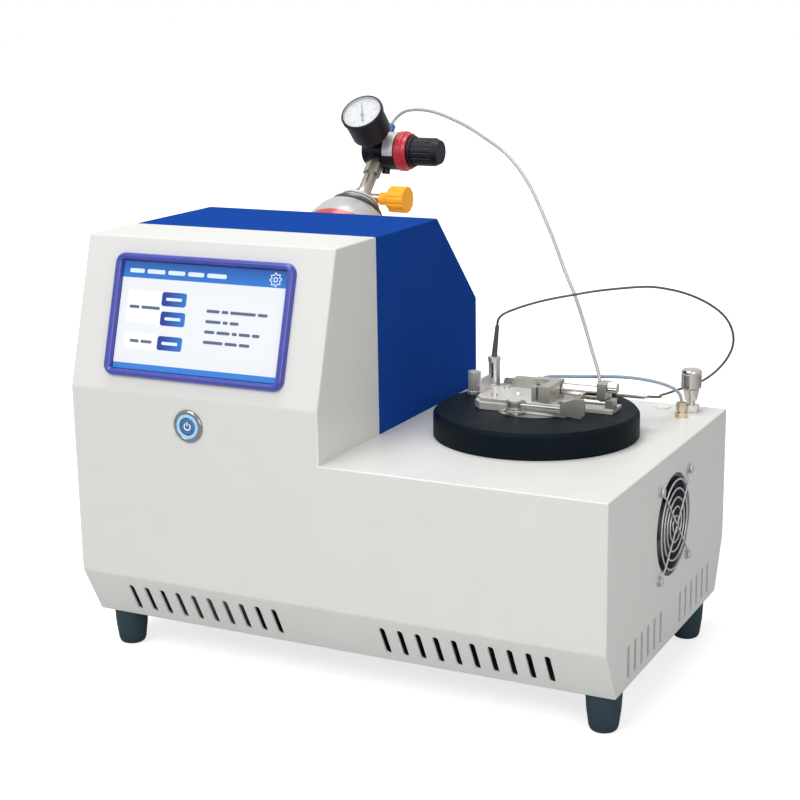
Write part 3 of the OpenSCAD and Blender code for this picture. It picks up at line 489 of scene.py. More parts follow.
def arc_turns(start: float, sweep: float, steps: int) -> list[float]:
    """Equal steps of angle in radians over a sweep given in degrees, both ends included."""
    return [math.radians(start + sweep * k / steps) for k in range(steps + 1)]


def linked(name: str, data: bpy.types.ID) -> bpy.types.Object:
    """Puts a new object into the scene.

    Args:
        name: The object's name.
        data: What it shows, such as a mesh.

    Returns:
        The object.
    """
    made = bpy.data.objects.new(name, data)
    bpy.context.scene.collection.objects.link(made)
    return made


def baked(carrier: bpy.types.Object, name: str) -> bpy.types.Mesh:
    """Turns an object into a plain mesh and removes the object.

    Args:
        carrier: The object, with its modifiers.
        name: The mesh's name.

    Returns:
        The mesh as the modifiers leave it.
    """
    depsgraph = bpy.context.evaluated_depsgraph_get()
    mesh = bpy.data.meshes.new_from_object(
        carrier.evaluated_get(depsgraph), preserve_all_data_layers=True, depsgraph=depsgraph)
    carrier.modifiers.clear()
    bpy.data.objects.remove(carrier)
    mesh.name = name
    return mesh


def smoothed(mesh: bpy.types.Mesh, finishes: list[Finish], corner: float) -> bpy.types.Mesh:
    """Gives a mesh its materials and smooth faces between sharp corners.

    Args:
        mesh: The mesh.
        finishes: One for each material slot.
        corner: Angle in degrees above which an edge stays sharp.

    Returns:
        The same mesh.
    """
    while len(mesh.materials) < len(finishes):
        mesh.materials.append(None)
    for slot, finish in enumerate(finishes):
        mesh.materials[slot] = finish.material()
    mesh.polygons.foreach_set("use_smooth", [True] * len(mesh.polygons))
    mesh.set_sharp_from_angle(angle=math.radians(corner))
    return mesh


def levelled(mesh: bpy.types.Mesh) -> bpy.types.Mesh:
    """Turns a mesh's normals towards its larger faces, so that its flats look flat.

    Args:
        mesh: The mesh, with its sharp edges marked.

    Returns:
        A new mesh.
    """
    carrier = linked(mesh.name, mesh)
    carrier.modifiers.new("levelled", "WEIGHTED_NORMAL").keep_sharp = True
    return baked(carrier, mesh.name)


class Shape:
    """A mesh in the making, in a place's own millimetres."""

    def __init__(self, name: str, place: Place) -> None:
        """Starts an empty shape.

        Args:
            name: The finished mesh's name.
            place: The axes that its points are given in.
        """
        self.name = name
        self.place = place
        self.bm = bmesh.new()

    def row(self, points: Iterable[Point]) -> list[bmesh.types.BMVert]:
        """Adds a row of points."""
        return [self.bm.verts.new(point) for point in points]

    def face(self, corners: list[bmesh.types.BMVert], slot: int = 0) -> None:
        """Adds a face, leaving out doubled corners.

        Args:
            corners: The face's points in order.
            slot: Material slot of the face.
        """
        unique = list(dict.fromkeys(corners))
        if len(unique) > 2:
            self.bm.faces.new(unique).material_index = slot

    def join(self, a: list[bmesh.types.BMVert], b: list[bmesh.types.BMVert], slot: int = 0,
             around: bool = True) -> None:
        """Spans two rows of points with faces. Either row may be a single point.

        Args:
            a: The first row.
            b: The second row.
            slot: Material slot of the faces.
            around: Whether the rows are closed rings.
        """
        steps = max(len(a), len(b))
        for i in range(steps if around else steps - 1):
            j = (i + 1) % steps
            self.face([a[i % len(a)], a[j % len(a)], b[j % len(b)], b[i % len(b)]], slot)

    def lathe(self, profile: Iterable[Flat], steps: int = 64, closed: bool = False) -> "Shape":
        """Turns a profile about local z.

        Args:
            profile: Radius and height of each point.
            steps: Points round the circle.
            closed: Whether the last point joins the first, as in a ring.

        Returns:
            The shape itself.
        """
        rings = [self.row(polar(r, math.tau * i / steps, z) for i in range(steps if r else 1))
                 for r, z in profile]
        for a, b in zip(rings, rings[1:] + (rings[:1] if closed else [])):
            self.join(a, b)
        return self

    def tube(self, path: list[Vector], radius: float, sides: int = 16) -> "Shape":
        """Sweeps a circle along a path.

        Args:
            path: Points of the middle line.
            radius: The tube's radius.
            sides: Points round the tube.

        Returns:
            The shape itself.
        """
        last = len(path) - 1
        across = (path[1] - path[0]).normalized().orthogonal()
        rings = []
        for i, spot in enumerate(path):
            along = (path[min(i + 1, last)] - path[max(i - 1, 0)]).normalized()
            across = (across - across.dot(along) * along).normalized()
            other = along.cross(across)
            turns = [math.tau * k / sides for k in range(sides)]
            rings.append(self.row(
                spot + radius * (math.cos(a) * across + math.sin(a) * other) for a in turns))
        for a, b in zip(rings, rings[1:]):
            self.join(a, b)
        self.face(rings[0][::-1])
        self.face(rings[-1])
        return self

    def mesh(self, finishes: list[Finish], corner: float = SHARP) -> bpy.types.Mesh:
        """Closes the shape.

        Args:
            finishes: One for each material slot.
            corner: Angle in degrees above which an edge stays sharp.

        Returns:
            The mesh, in the row frame's metres.
        """
        bmesh.ops.recalc_face_normals(self.bm, faces=self.bm.faces)
        self.bm.transform(self.place.matrix())
        mesh = bpy.data.meshes.new(self.name)
        self.bm.to_mesh(mesh)
        self.bm.free()
        return smoothed(mesh, finishes, corner)


def rounded_box(w: float, h: float, r: float, steps: int = 8) -> list[Flat]:
    """Outlines a rectangle about the middle with round corners.

    Args:
        w: Width.
        h: Height.
        r: Corner radius.
        steps: Steps round one corner.

    Returns:
        The outline's points.
    """
    out = []
    for sx, sy, start in ((1, 1, 0), (-1, 1, 90), (-1, -1, 180), (1, -1, 270)):
        for k in range(steps + 1):
            a = math.radians(start + 90.0 * k / steps)
            out.append((sx * (w / 2 - r) + r * math.cos(a), sy * (h / 2 - r) + r * math.sin(a)))
    return out


def curve_through(points: Iterable[Point], parts: int = 4) -> list[Vector]:
    """A smooth path through set points.

    Args:
        points: The points that it passes.
        parts: Steps from one point to the next.

    Returns:
        The path's points.
    """
    p = [Vector(v) for v in points]
    last = len(p) - 1
    out = []
    for i in range(last):
        a, b, c, d = p[max(i - 1, 0)], p[i], p[i + 1], p[min(i + 2, last)]
        for k in range(parts):
            t = k / parts
            out.append(0.5 * (2 * b + t * (c - a) + t * t * (2 * a - 5 * b + 4 * c - d)
                              + t ** 3 * (3 * b - a - 3 * c + d)))
    return out + [p[last]]


class Tree(Nodes):
    """A Geometry Nodes tree with named inputs that ends in one plain mesh."""

    family = "GeometryNode"
    KINDS = {int: "NodeSocketInt", float: "NodeSocketFloat", tuple: "NodeSocketVector"}

    def __init__(self, name: str, inputs: dict[str, object]) -> None:
        """Starts a tree.

        Args:
            name: The tree's name.
            inputs: Input name to its value, a whole number, number or vector.
        """
        super().__init__(bpy.data.node_groups.new(name, "GeometryNodeTree"))
        self.inputs = inputs
        face = self.tree.interface
        face.new_socket(name="Geometry", in_out="OUTPUT", socket_type="NodeSocketGeometry")
        self.sockets = {
            key: face.new_socket(name=key, in_out="INPUT", socket_type=self.KINDS[type(value)])
            for key, value in inputs.items()
        }
        self.source = self.new("NodeGroupInput")

    def get(self, name: str) -> bpy.types.NodeSocket:
        """The socket of a named input."""
        return self.source.outputs[name]

    def series(self, first: str, step: str) -> tuple[bpy.types.NodeSocket, bpy.types.NodeSocket]:
        """Gives as many points as the input Count says, and a number for each.

        Args:
            first: The input that holds the first point's number.
            step: The input that holds what each further point adds.

        Returns:
            The points, all at the origin, and their numbers.
        """
        line = self.add("MeshLine", {"Count": self.get("Count"), "Offset": (0.0, 0.0, 0.0)})
        index = self.add("InputIndex").outputs[0]
        number = self.math("ADD", self.get(first), self.math("MULTIPLY", index, self.get(step)))
        return line.outputs[0], number

    def wire(self, path: bpy.types.NodeSocket, sides: int, caps: bool) -> bpy.types.NodeSocket:
        """Sweeps a round wire along a path. The input Wire holds its radius.

        Args:
            path: The curve to follow.
            sides: Points round the wire.
            caps: Whether its ends are closed.

        Returns:
            The wire's mesh.
        """
        profile = self.add("CurvePrimitiveCircle", {
            "Resolution": sides, "Radius": self.get("Wire")})
        return self.add("CurveToMesh", {
            "Curve": path, "Profile Curve": profile.outputs[0], "Fill Caps": caps}).outputs[0]

    def mesh(self, geometry: bpy.types.NodeSocket, finish: Finish, place: Place
             ) -> bpy.types.Mesh:
        """Runs the tree.

        Args:
            geometry: The tree's result before it is realised.
            finish: Its finish.
            place: The axes that the tree's millimetres are in.

        Returns:
            A plain mesh in the row frame.
        """
        real = self.add("RealizeInstances", {0: geometry})
        dressed = self.add("SetMaterial", {
            "Geometry": real.outputs[0], "Material": finish.material()})
        self.new("NodeGroupOutput", {0: dressed.outputs[0]})
        name = self.tree.name
        carrier = linked(name, bpy.data.meshes.new(name + "_carrier"))
        modifier = carrier.modifiers.new(name, "NODES")
        modifier.node_group = self.tree
        for key, value in self.inputs.items():
            modifier[self.sockets[key].identifier] = value
        mesh = baked(carrier, name)
        mesh.transform(place.matrix())
        return smoothed(mesh, [finish], SHARP)


def radial_copies(name: str, finish: Finish, place: Place, size: Point, count: int,
                  radius: float, start: float = 0.0, sweep: float = 360.0) -> bpy.types.Mesh:
    """Sets equal blocks round an axis.

    Args:
        name: The mesh's name.
        finish: Its finish.
        place: Axes whose z the blocks stand round.
        size: A block's extent outwards, round and along the axis.
        count: How many blocks.
        radius: Distance of a block's middle from the axis.
        start: Angle of the first block in degrees.
        sweep: Angle that all the blocks share in degrees.

    Returns:
        The mesh.
    """
    tree = Tree(name, {
        "Count": count, "Radius": radius, "Start": math.radians(start),
        "Step": math.radians(sweep) / count, "Block": size,
    })
    points, angle = tree.series("Start", "Step")
    spot = tree.new("ShaderNodeCombineXYZ", {
        0: tree.math("MULTIPLY", tree.get("Radius"), tree.math("COSINE", angle)),
        1: tree.math("MULTIPLY", tree.get("Radius"), tree.math("SINE", angle)),
    })
    moved = tree.add("SetPosition", {"Geometry": points, "Position": spot.outputs[0]})
    turn = tree.new("ShaderNodeCombineXYZ", {2: angle})
    block = tree.add("MeshCube", {"Size": tree.get("Block")})
    placed = tree.add("InstanceOnPoints", {
        "Points": moved.outputs[0], "Instance": block.outputs[0], "Rotation": turn.outputs[0]})
    return tree.mesh(placed.outputs[0], finish, place)


def wire_rings(name: str, finish: Finish, place: Place, count: int, first: float, pitch: float,
               wire: float) -> bpy.types.Mesh:
    """Makes a set of wire rings one inside the other.

    Args:
        name: The mesh's name.
        finish: Its finish.
        place: Axes whose z the rings stand round.
        count: How many rings.
        first: Radius of the smallest ring.
        pitch: Distance from ring to ring.
        wire: Radius of the wire.

    Returns:
        The mesh.
    """
    tree = Tree(name, {"Count": count, "First": first, "Pitch": pitch, "Wire": wire})
    points, size = tree.series("First", "Pitch")
    circle = tree.add("CurvePrimitiveCircle", {"Resolution": 72, "Radius": 1.0})
    placed = tree.add("InstanceOnPoints", {
        "Points": points, "Instance": circle.outputs[0], "Scale": size})
    real = tree.add("RealizeInstances", {0: placed.outputs[0]})
    return tree.mesh(tree.wire(real.outputs[0], 10, False), finish, place)


def spring(name: str, finish: Finish, place: Place, radius: float, length: float, turns: float,
           wire: float) -> bpy.types.Mesh:
    """Winds a wire into a spring along local z.

    Args:
        name: The mesh's name.
        finish: Its finish.
        place: Axes whose z the spring runs along.
        radius: Radius of the wire's middle line.
        length: Length of the spring.
        turns: How many turns.
        wire: Radius of the wire.

    Returns:
        The mesh.
    """
    tree = Tree(name, {"Turns": turns, "Radius": radius, "Length": length, "Wire": wire})
    coil = tree.add("CurveSpiral", {
        "Resolution": 20, "Rotations": tree.get("Turns"), "Start Radius": tree.get("Radius"),
        "End Radius": tree.get("Radius"), "Height": tree.get("Length")})
    return tree.mesh(tree.wire(coil.outputs[0], 8, True), finish, place)


# ---- sub-assemblies -----------------------------------------------------------------


@dataclass(frozen=True)
class Rounding:
    """How the edges of a solid's copy are rounded."""

    suffix: str
    width: float
    segments: int
    corner: float


@dataclass
class Assembly:
    """A group of pieces that are made and dressed together."""

    frame: dict

    def build(self) -> None:
        """Makes and dresses the group's pieces."""
        raise NotImplementedError

    def node_body(self, node: str) -> str:
        """The body that a node belongs to."""
        bodies = self.frame["record"]["behaviour"]["bodies"]
        return next(body for body, nodes in bodies.items() if node in nodes)

    def node_slot(self, node: str) -> str:
        """The material slot that the record gives a node."""
        parts = self.frame["record"]["subparts"]
        return next(part["material_slot"] for part in parts if part["node"] == node)

    def coat(self, finish: Finish, *nodes: str) -> None:
        """Gives CAD nodes a finish.

        Args:
            finish: The finish.
            *nodes: The nodes' names.
        """
        for node in nodes:
            for slot in self.frame["nodes"][node].material_slots:
                slot.material = finish.material()
            LOG.info("%s: %s", node, finish.name)

    def place(self, mesh: bpy.types.Mesh, like: str, replaces: tuple[str, ...] = ()) -> None:
        """Adds a finished mesh to the object.

        Args:
            mesh: The mesh, in the row frame.
            like: The node whose body it takes.
            replaces: Nodes that it stands for.
        """
        piece = linked(mesh.name, mesh)
        if replaces:
            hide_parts(*replaces)
        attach(piece, self.node_body(like))
        self.node_slot(like)
        LOG.info("%s: rides on %s", piece.name, self.node_body(like))

    def opened(self, node: str) -> bmesh.types.BMesh:
        """Copies a CAD node's mesh, with its loose triangles merged into flat faces.

        Args:
            node: The node's name.

        Returns:
            The copy.
        """
        bm = bmesh.new()
        bm.from_mesh(self.frame["nodes"][node].data)
        bmesh.ops.remove_doubles(bm, verts=bm.verts, dist=WELD)
        bmesh.ops.dissolve_limit(
            bm, angle_limit=math.radians(FLAT_ANGLE), verts=bm.verts, edges=bm.edges)
        return bm

    def stand_in(self, node: str, bm: bmesh.types.BMesh, edges: list[bmesh.types.BMEdge],
                 rounding: Rounding, finish: Finish) -> None:
        """Rounds some edges of a CAD node's copy and stands it in for the node.

        Args:
            node: The node's name.
            bm: The copy.
            edges: The edges to round.
            rounding: How they are rounded.
            finish: The finish.
        """
        if edges:
            bmesh.ops.bevel(
                bm, geom=edges, offset=rounding.width * MM, offset_type="OFFSET",
                segments=rounding.segments, profile=0.5, affect="EDGES", clamp_overlap=True)
        mesh = bpy.data.meshes.new(node + rounding.suffix)
        bm.to_mesh(mesh)
        bm.free()
        self.place(levelled(smoothed(mesh, [finish], rounding.corner)), node, (node,))

    def refine(self, finish: Finish, edge: float, *nodes: str, corner: float = SHARP) -> None:
        """Stands copies with broken edges and smooth curves in for CAD nodes.

        Args:
            finish: The finish.
            edge: Width of the broken edges in millimetres.
            *nodes: The nodes' names.
            corner: Angle in degrees above which an edge is broken.
        """
        for node in nodes:
            bm = self.opened(node)
            sharp = [e for e in bm.edges if len(e.link_faces) == 2
                     and e.calc_face_angle(0.0) > math.radians(corner)]
            self.stand_in(node, bm, sharp, Rounding("_refined", edge, 2, BEVEL_CORNER), finish)


@dataclass
class Cords(Assembly):
    """The gas hose, the blue feed hose and the sensor lead, on their set routes."""

    gas: tuple[Point, ...] = (
        (111, 360.5, 411.9), (111.7, 363.3, 415.4), (113.8, 365.2, 418.9), (117.2, 365.8, 422),
        (121.6, 364.8, 424.5), (127.4, 361.8, 426.4), (135.5, 356.6, 427.8), (146, 349, 428.7),
        (160, 338.7, 428.9), (178, 325.8, 427.4), (200, 312, 423), (220, 300, 417.5),
        (239, 290, 410), (263, 276, 400), (282, 265, 386.5), (297, 256.5, 370.5),
        (309, 249, 353.5), (322.5, 241.5, 332), (335.5, 233.5, 308.5), (347.5, 225.5, 290.5),
        (358.5, 219, 268.5), (368.5, 211.5, 247.5), (376, 205.5, 233), (380, 200.2, 224.4))
    feed: tuple[Point, ...] = (
        (433, 252, 200.2), (432.7, 251.7, 204.2), (431.3, 250.8, 208), (428.7, 249.1, 211.3),
        (425, 246.8, 214), (419, 243, 217), (410.5, 237.5, 220), (400, 230, 222.8),
        (388, 220.3, 225), (376, 208.8, 226.5), (364, 197.8, 227.8), (355, 189.9, 228.8),
        (349.6, 185.2, 229.5), (345.3, 180.8, 229.9), (342.7, 176.4, 230.1), (342, 172.4, 230.2))
    lead: tuple[Point, ...] = (
        (294.75, 187, 267.3), (295.3, 187.1, 271.5), (297.6, 187.9, 275.2), (301.6, 189.5, 278),
        (307.4, 192.1, 280.6), (316, 196.4, 283.8), (330, 204.2, 287.8), (350, 216, 291.6),
        (371, 230, 294.6), (400, 250, 296), (417, 262, 293), (432, 274, 287), (446.4, 284, 278),
        (457, 291.6, 267), (462, 297, 254), (461.6, 300, 241), (456, 301.2, 228.6),
        (447, 300, 217.4), (437.4, 295.4, 209.8), (429, 285, 206.8), (423.6, 270, 206.2),
        (420.8, 252, 207), (420.8, 236, 209.2), (423.6, 223, 211.6), (427, 214.6, 213.4),
        (428.8, 208.6, 214.6), (428, 203.6, 215.5), (424.8, 200.7, 215.9), (420.4, 200, 216))
    feed_bend: tuple[Point, Point] = ((353, 216, 228), (346, 170, 230))
    lead_bend: tuple[Point, Point] = ((390, 187, 267), (300, 187, 267))

    def hose(self, node: str, points: tuple[Point, ...], radius: float, finish: Finish,
             stiffness: str) -> bpy.types.Object:
        """Args:
            node: The CAD node that it replaces.
            points: Its route in bench millimetres.
            radius: Its radius in millimetres.
            finish: Its finish.

        Returns:
            The hose, not yet tied to a body.
        """
        path = curve_through(points)
        mesh = Shape(node + "_smooth", BENCH).tube(path, radius).mesh([finish])
        piece = linked(mesh.name, mesh)
        self.node_slot(node)
        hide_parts(node)
        line = [BENCH.matrix() @ p for p in path]
        return piece

    def build(self) -> None:
        """Makes the three hoses and ties the gas hose to the cabinet."""
        gas = self.hose("gas_tube", self.gas, 1.5, CLEAR_HOSE, "medium")
        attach(gas, "cabinet")
        feed = self.hose("blue_tube", self.feed, 1.4, BLUE_HOSE, "medium")
        start, end = (tuple(BENCH.point(*spot)) for spot in self.feed_bend)
        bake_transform(feed)
        lead = self.hose("sensor_lead", self.lead, 1.0, LEAD, "limp")
        start, end = (tuple(BENCH.point(*spot)) for spot in self.lead_bend)
        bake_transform(lead)


@dataclass
class Cabinet(Assembly):
    """The sheet metal, its feet and the parts that it hides."""

    fold_radius: float = 1.6
    fold_angle: float = 10.0
    tower: tuple[Flat, ...] = (
        (CHAMFER_IN, 0.0), (0.0, CHAMFER_H), (0.0, FOLD_H), (PANEL_IN, TOWER_H),
        (TOP_D, TOWER_H), (BODY_D, REAR_H), (BODY_D, REAR_CHAMFER_H),
        (BODY_D - REAR_CHAMFER_IN, 0.0))
    deck: tuple[Flat, ...] = (
        (CHAMFER_IN, 0.0), (0.0, CHAMFER_H), (0.0, DECK_H), (BODY_D, DECK_H),
        (BODY_D, REAR_CHAMFER_H), (BODY_D - REAR_CHAMFER_IN, 0.0))
    widths: tuple[float, ...] = (0.0, TOWER_W, BODY_W)
    seam: Flat = (101.0, 101.4)
    near: float = 0.02
    reach: float = 0.06

    def folds(self) -> set[Point]:
        """The outer corners of the sheet metal, in bench millimetres."""
        return {(x, y, z + FOOT_H) for x in self.widths for y, z in self.tower + self.deck}

    def outer(self, spot: Vector, corners: set[Point]) -> bool:
        """Tells whether a bench point is an outer corner or an end of the seam.

        Args:
            spot: The point in bench millimetres.
            corners: The outer corners of the sheet metal.

        Returns:
            Whether it is one.
        """
        x, y, z = spot
        on_seam = min(abs(y - edge) for edge in self.seam) < self.near
        on_side = min(abs(x - side) for side in (0.0, TOWER_W)) < self.near
        on_end = min(abs(z - FOOT_H - end) for end in (0.0, TOWER_H)) < self.near
        return (on_seam and on_side and on_end) or any(
            abs(x - a) + abs(y - b) + abs(z - c) < self.reach for a, b, c in corners)

    def skin(self, node: str, finish: Finish) -> None:
        """Stands a copy with rounded folds in for a sheet metal node.

        Args:
            node: The node's name.
            finish: Its powder coat.
        """
        corners = self.folds()
        back = BENCH.matrix().inverted()
        bm = self.opened(node)
        edges = [e for e in bm.edges if all(self.outer(back @ v.co, corners) for v in e.verts)
                 and len(e.link_faces) == 2 and e.is_convex
                 and e.calc_face_angle(0.0) > math.radians(self.fold_angle)]
        folded = Rounding("_folded", self.fold_radius, 3, FOLD_CORNER)
        self.stand_in(node, bm, edges, folded, finish)

    def build(self) -> None:
        """Dresses the cabinet."""
        self.skin("front_shell", WHITE_COAT)
        self.skin("rear_cover", BLUE_COAT)
        self.refine(FOOT_SLATE, 0.5, "feet")
        self.coat(ZINC, "base_plate", "gas_well", "power_supply")
        self.coat(STEEL, "foot_screws")
        self.coat(BOARD, "display_board", "control_board")
        self.refine(BLACK, 0.4, "mains_inlet")


@dataclass
class Display(Assembly):
    """The touch screen, its raised frame and its picture, in the panel's millimetres."""

    middle: Flat = (114.0, 61.5)
    opening: Flat = (152.0, 87.0)
    outside: Flat = (166.0, 99.0)
    corners: Flat = (1.5, 9.0)
    height: float = 5.0
    swell: float = 0.7
    lit: Flat = (151.2, 86.2)
    header_y: float = 91.4
    footer_y: float = 23.0
    top: float = 0.52
    layer: float = 0.04
    fields: tuple[tuple[float, float, float, float], ...] = (
        (45.5, 55.5, 79.0, 81.5), (46.5, 34.5, 78.0, 47.5))
    keys: tuple[Flat, ...] = ((89.4, 76.0), (90.0, 60.5), (89.8, 41.0))
    key_size: Flat = (23.2, 11.2)
    key_word: Flat = (7.5, 15.0)
    menu_at: Flat = (44.5, 97.0)
    menu: tuple[float, ...] = (14.0, 17.0, 16.0, 15.0, 18.0)
    menu_h: float = 3.4
    gear_at: Flat = (179.4, 97.6)
    lines: tuple[tuple[float, float, tuple[float, ...]], ...] = (
        (48.0, 68.2, (9.5, 17.5)), (52.0, 41.0, (8.5, 10.5)), (120.6, 69.3, (12.0, 6.0, 23.0, 8.5)),
        (120.6, 61.1, (14.0, 4.5, 8.0)), (120.6, 53.0, (9.5, 12.0, 4.5, 10.0, 6.5)),
        (120.6, 44.9, (18.0, 11.0, 9.5)))
    word_h: float = 2.4

    def bezel(self) -> None:
        """Sweeps the half-round frame about the screen."""
        (w, h), (ow, oh) = self.opening, self.outside
        tight, wide = self.corners
        steps, seat = 7, 0.01
        profile = [(0.0, seat)]
        for k in range(1, steps):
            a = math.pi * k / steps
            profile.append((0.5 - 0.5 * math.cos(a), self.height * math.sin(a) ** self.swell))
        profile.append((1.0, seat))
        shape = Shape("bezel_frame", PANEL.at(*self.middle, 0.0))
        loops = []
        for t, z in profile:
            loop = rounded_box(w + (ow - w) * t, h + (oh - h) * t, tight + (wide - tight) * t)
            loops.append(shape.row((x, y, z) for x, y in loop))
        for a, b in zip(loops, loops[1:] + loops[:1]):
            shape.join(a, b)
        self.place(shape.mesh([BEZEL_BLUE], BEZEL_CORNER), "display_bezel", ("display_bezel",))

    def sheet(self, shape: Shape, box: tuple[float, float, float, float], level: float,
              ink: Ink, r: float = 0.0) -> None:
        """Lays one flat patch of colour on the screen.

        Args:
            shape: The picture in the making.
            box: Left, bottom, right and top.
            level: Layer number, one above the other.
            ink: Its colour.
            r: Corner radius.
        """
        x0, y0, x1, y1 = box
        cx, cy = (x0 + x1) / 2, (y0 + y1) / 2
        outline = rounded_box(x1 - x0, y1 - y0, max(r, 0.01), 6 if r > 0.1 else 1)
        z = self.top + self.layer * level
        shape.face(shape.row((cx + x, cy + y, z) for x, y in outline), ink)

    def words(self, shape: Shape, x: float, y: float, lengths: tuple[float, ...], tall: float,
              ink: Ink, level: float = 3) -> None:
        """Lays a row of bars where a line of words would be.

        Args:
            shape: The picture in the making.
            x: Left end.
            y: Middle height.
            lengths: Length of each bar.
            tall: Height of the bars.
            ink: Their colour.
            level: Layer number.
        """
        for length in lengths:
            self.sheet(shape, (x, y - tall / 2, x + length, y + tall / 2), level, ink, tall * 0.4)
            x += length + tall * 0.8

    def loop(self, shape: Shape, x: float, y: float, rim: list[Flat], width: float) -> None:
        """Draws a closed light line.

        Args:
            shape: The picture in the making.
            x: Its middle.
            y: Its middle.
            rim: Radius and angle of each point of its outer edge.
            width: Width of the line.
        """
        z = self.top + self.layer * 3
        outer, inner = (shape.row((x + (r - cut) * math.cos(a), y + (r - cut) * math.sin(a), z)
                                  for r, a in rim) for cut in (0.0, width))
        shape.join(outer, inner, Ink.LIGHT_WORD)

    def gear(self, shape: Shape, x: float, y: float) -> None:
        """Draws the settings wheel: eight teeth round a small ring.

        Args:
            shape: The picture in the making.
            x: Its middle.
            y: Its middle.
        """
        tip, root, hub = 5.6, 4.4, 2.1
        teeth, turns = ([math.tau * k / n for k in range(n)] for n in (32, 24))
        rim = [(tip if k % 4 in (0, 1) else root, a) for k, a in enumerate(teeth)]
        self.loop(shape, x, y, rim, 1.1)
        self.loop(shape, x, y, [(hub, a) for a in turns], 0.9)

    def picture(self) -> None:
        """Draws the screen's plain start page."""
        shape = Shape("screen_picture", PANEL)
        (mx, my), (w, h) = self.middle, self.lit
        left, right, low, high = mx - w / 2, mx + w / 2, my - h / 2, my + h / 2
        self.sheet(shape, (left, low, right, high), 0, Ink.PAGE)
        self.sheet(shape, (left, self.header_y, right, high), 1, Ink.HEADER)
        self.sheet(shape, (left, low, right, self.footer_y), 1, Ink.FOOTER)
        for box in self.fields:
            self.sheet(shape, box, 1, Ink.FIELD, 1.0)
        kw, kh = (size / 2 for size in self.key_size)
        word_in, word_w = self.key_word
        for x, y in self.keys:
            self.sheet(shape, (x - kw, y - kh, x + kw, y + kh), 2, Ink.KEY, 2.2)
            self.words(shape, x - word_in, y, (word_w,), self.word_h, Ink.LIGHT_WORD, 4)
        self.words(shape, *self.menu_at, self.menu, self.menu_h, Ink.LIGHT_WORD)
        for x, y, lengths in self.lines:
            self.words(shape, x, y, lengths, self.word_h, Ink.DARK_WORD)
        self.gear(shape, *self.gear_at)
        self.place(shape.mesh(SCREEN_INKS), "touchscreen")

    def build(self) -> None:
        """Makes the screen."""
        self.bezel()
        self.coat(SCREEN_GLASS, "touchscreen")
        self.picture()


@dataclass
class PowerButton(Assembly):
    """The steel push-button with its ring of light."""

    bezel: tuple[Flat, ...] = (
        (0.0, -28.0), (10.9, -28.0), (10.98, -27.9), (10.98, 0.03), (13.1, 0.03), (13.24, 0.2),
        (13.2, 0.9), (12.9, 1.5), (12.3, 2.05), (11.5, 2.32), (10.7, 2.36), (10.1, 2.15),
        (9.92, 1.9), (7.05, 1.9), (7.0, 1.8), (7.0, -10.4), (4.1, -10.4), (4.1, -20.0),
        (0.0, -20.0))
    nut: tuple[Flat, ...] = ((11.02, -6.5), (15.4, -6.5), (15.4, -1.55), (11.02, -1.55))
    light: tuple[Flat, ...] = ((7.25, 1.92), (7.4, 2.2), (8.5, 2.3), (9.65, 2.2), (9.85, 1.92))
    symbol_z: float = 1.9
    arc: tuple[float, float, int] = (40.0, 280.0, 24)
    arc_r: float = 2.8
    bar: Flat = (0.6, 3.8)
    line: float = 0.45

    def symbol(self) -> None:
        """Draws the broken ring and its bar."""
        shape = Shape("power_symbol", BUTTON)
        arc = [Vector((self.arc_r * math.sin(a), self.arc_r * math.cos(a), self.symbol_z))
               for a in arc_turns(*self.arc)]
        shape.tube(arc, self.line, 8)
        shape.tube([Vector((0.0, y, self.symbol_z)) for y in self.bar], self.line, 8)
        self.place(shape.mesh([SYMBOL_LIGHT]), "power_button_cap")

    def build(self) -> None:
        """Makes the button's bright ring, light and symbol."""
        body = Shape("button_bezel", BUTTON)
        body.lathe(self.bezel)
        body.lathe(self.nut, 6, closed=True)
        self.place(body.mesh([BUTTON_STEEL_PAINTED_DARK]), "power_button_body", ("power_button_body",))
        ring = Shape("button_light_ring", BUTTON).lathe(self.light, closed=True)
        self.place(ring.mesh([BUTTON_LIGHT]), "power_button_body")
        self.refine(LIT_STEEL, 0.5, "power_button_cap")
        self.symbol()


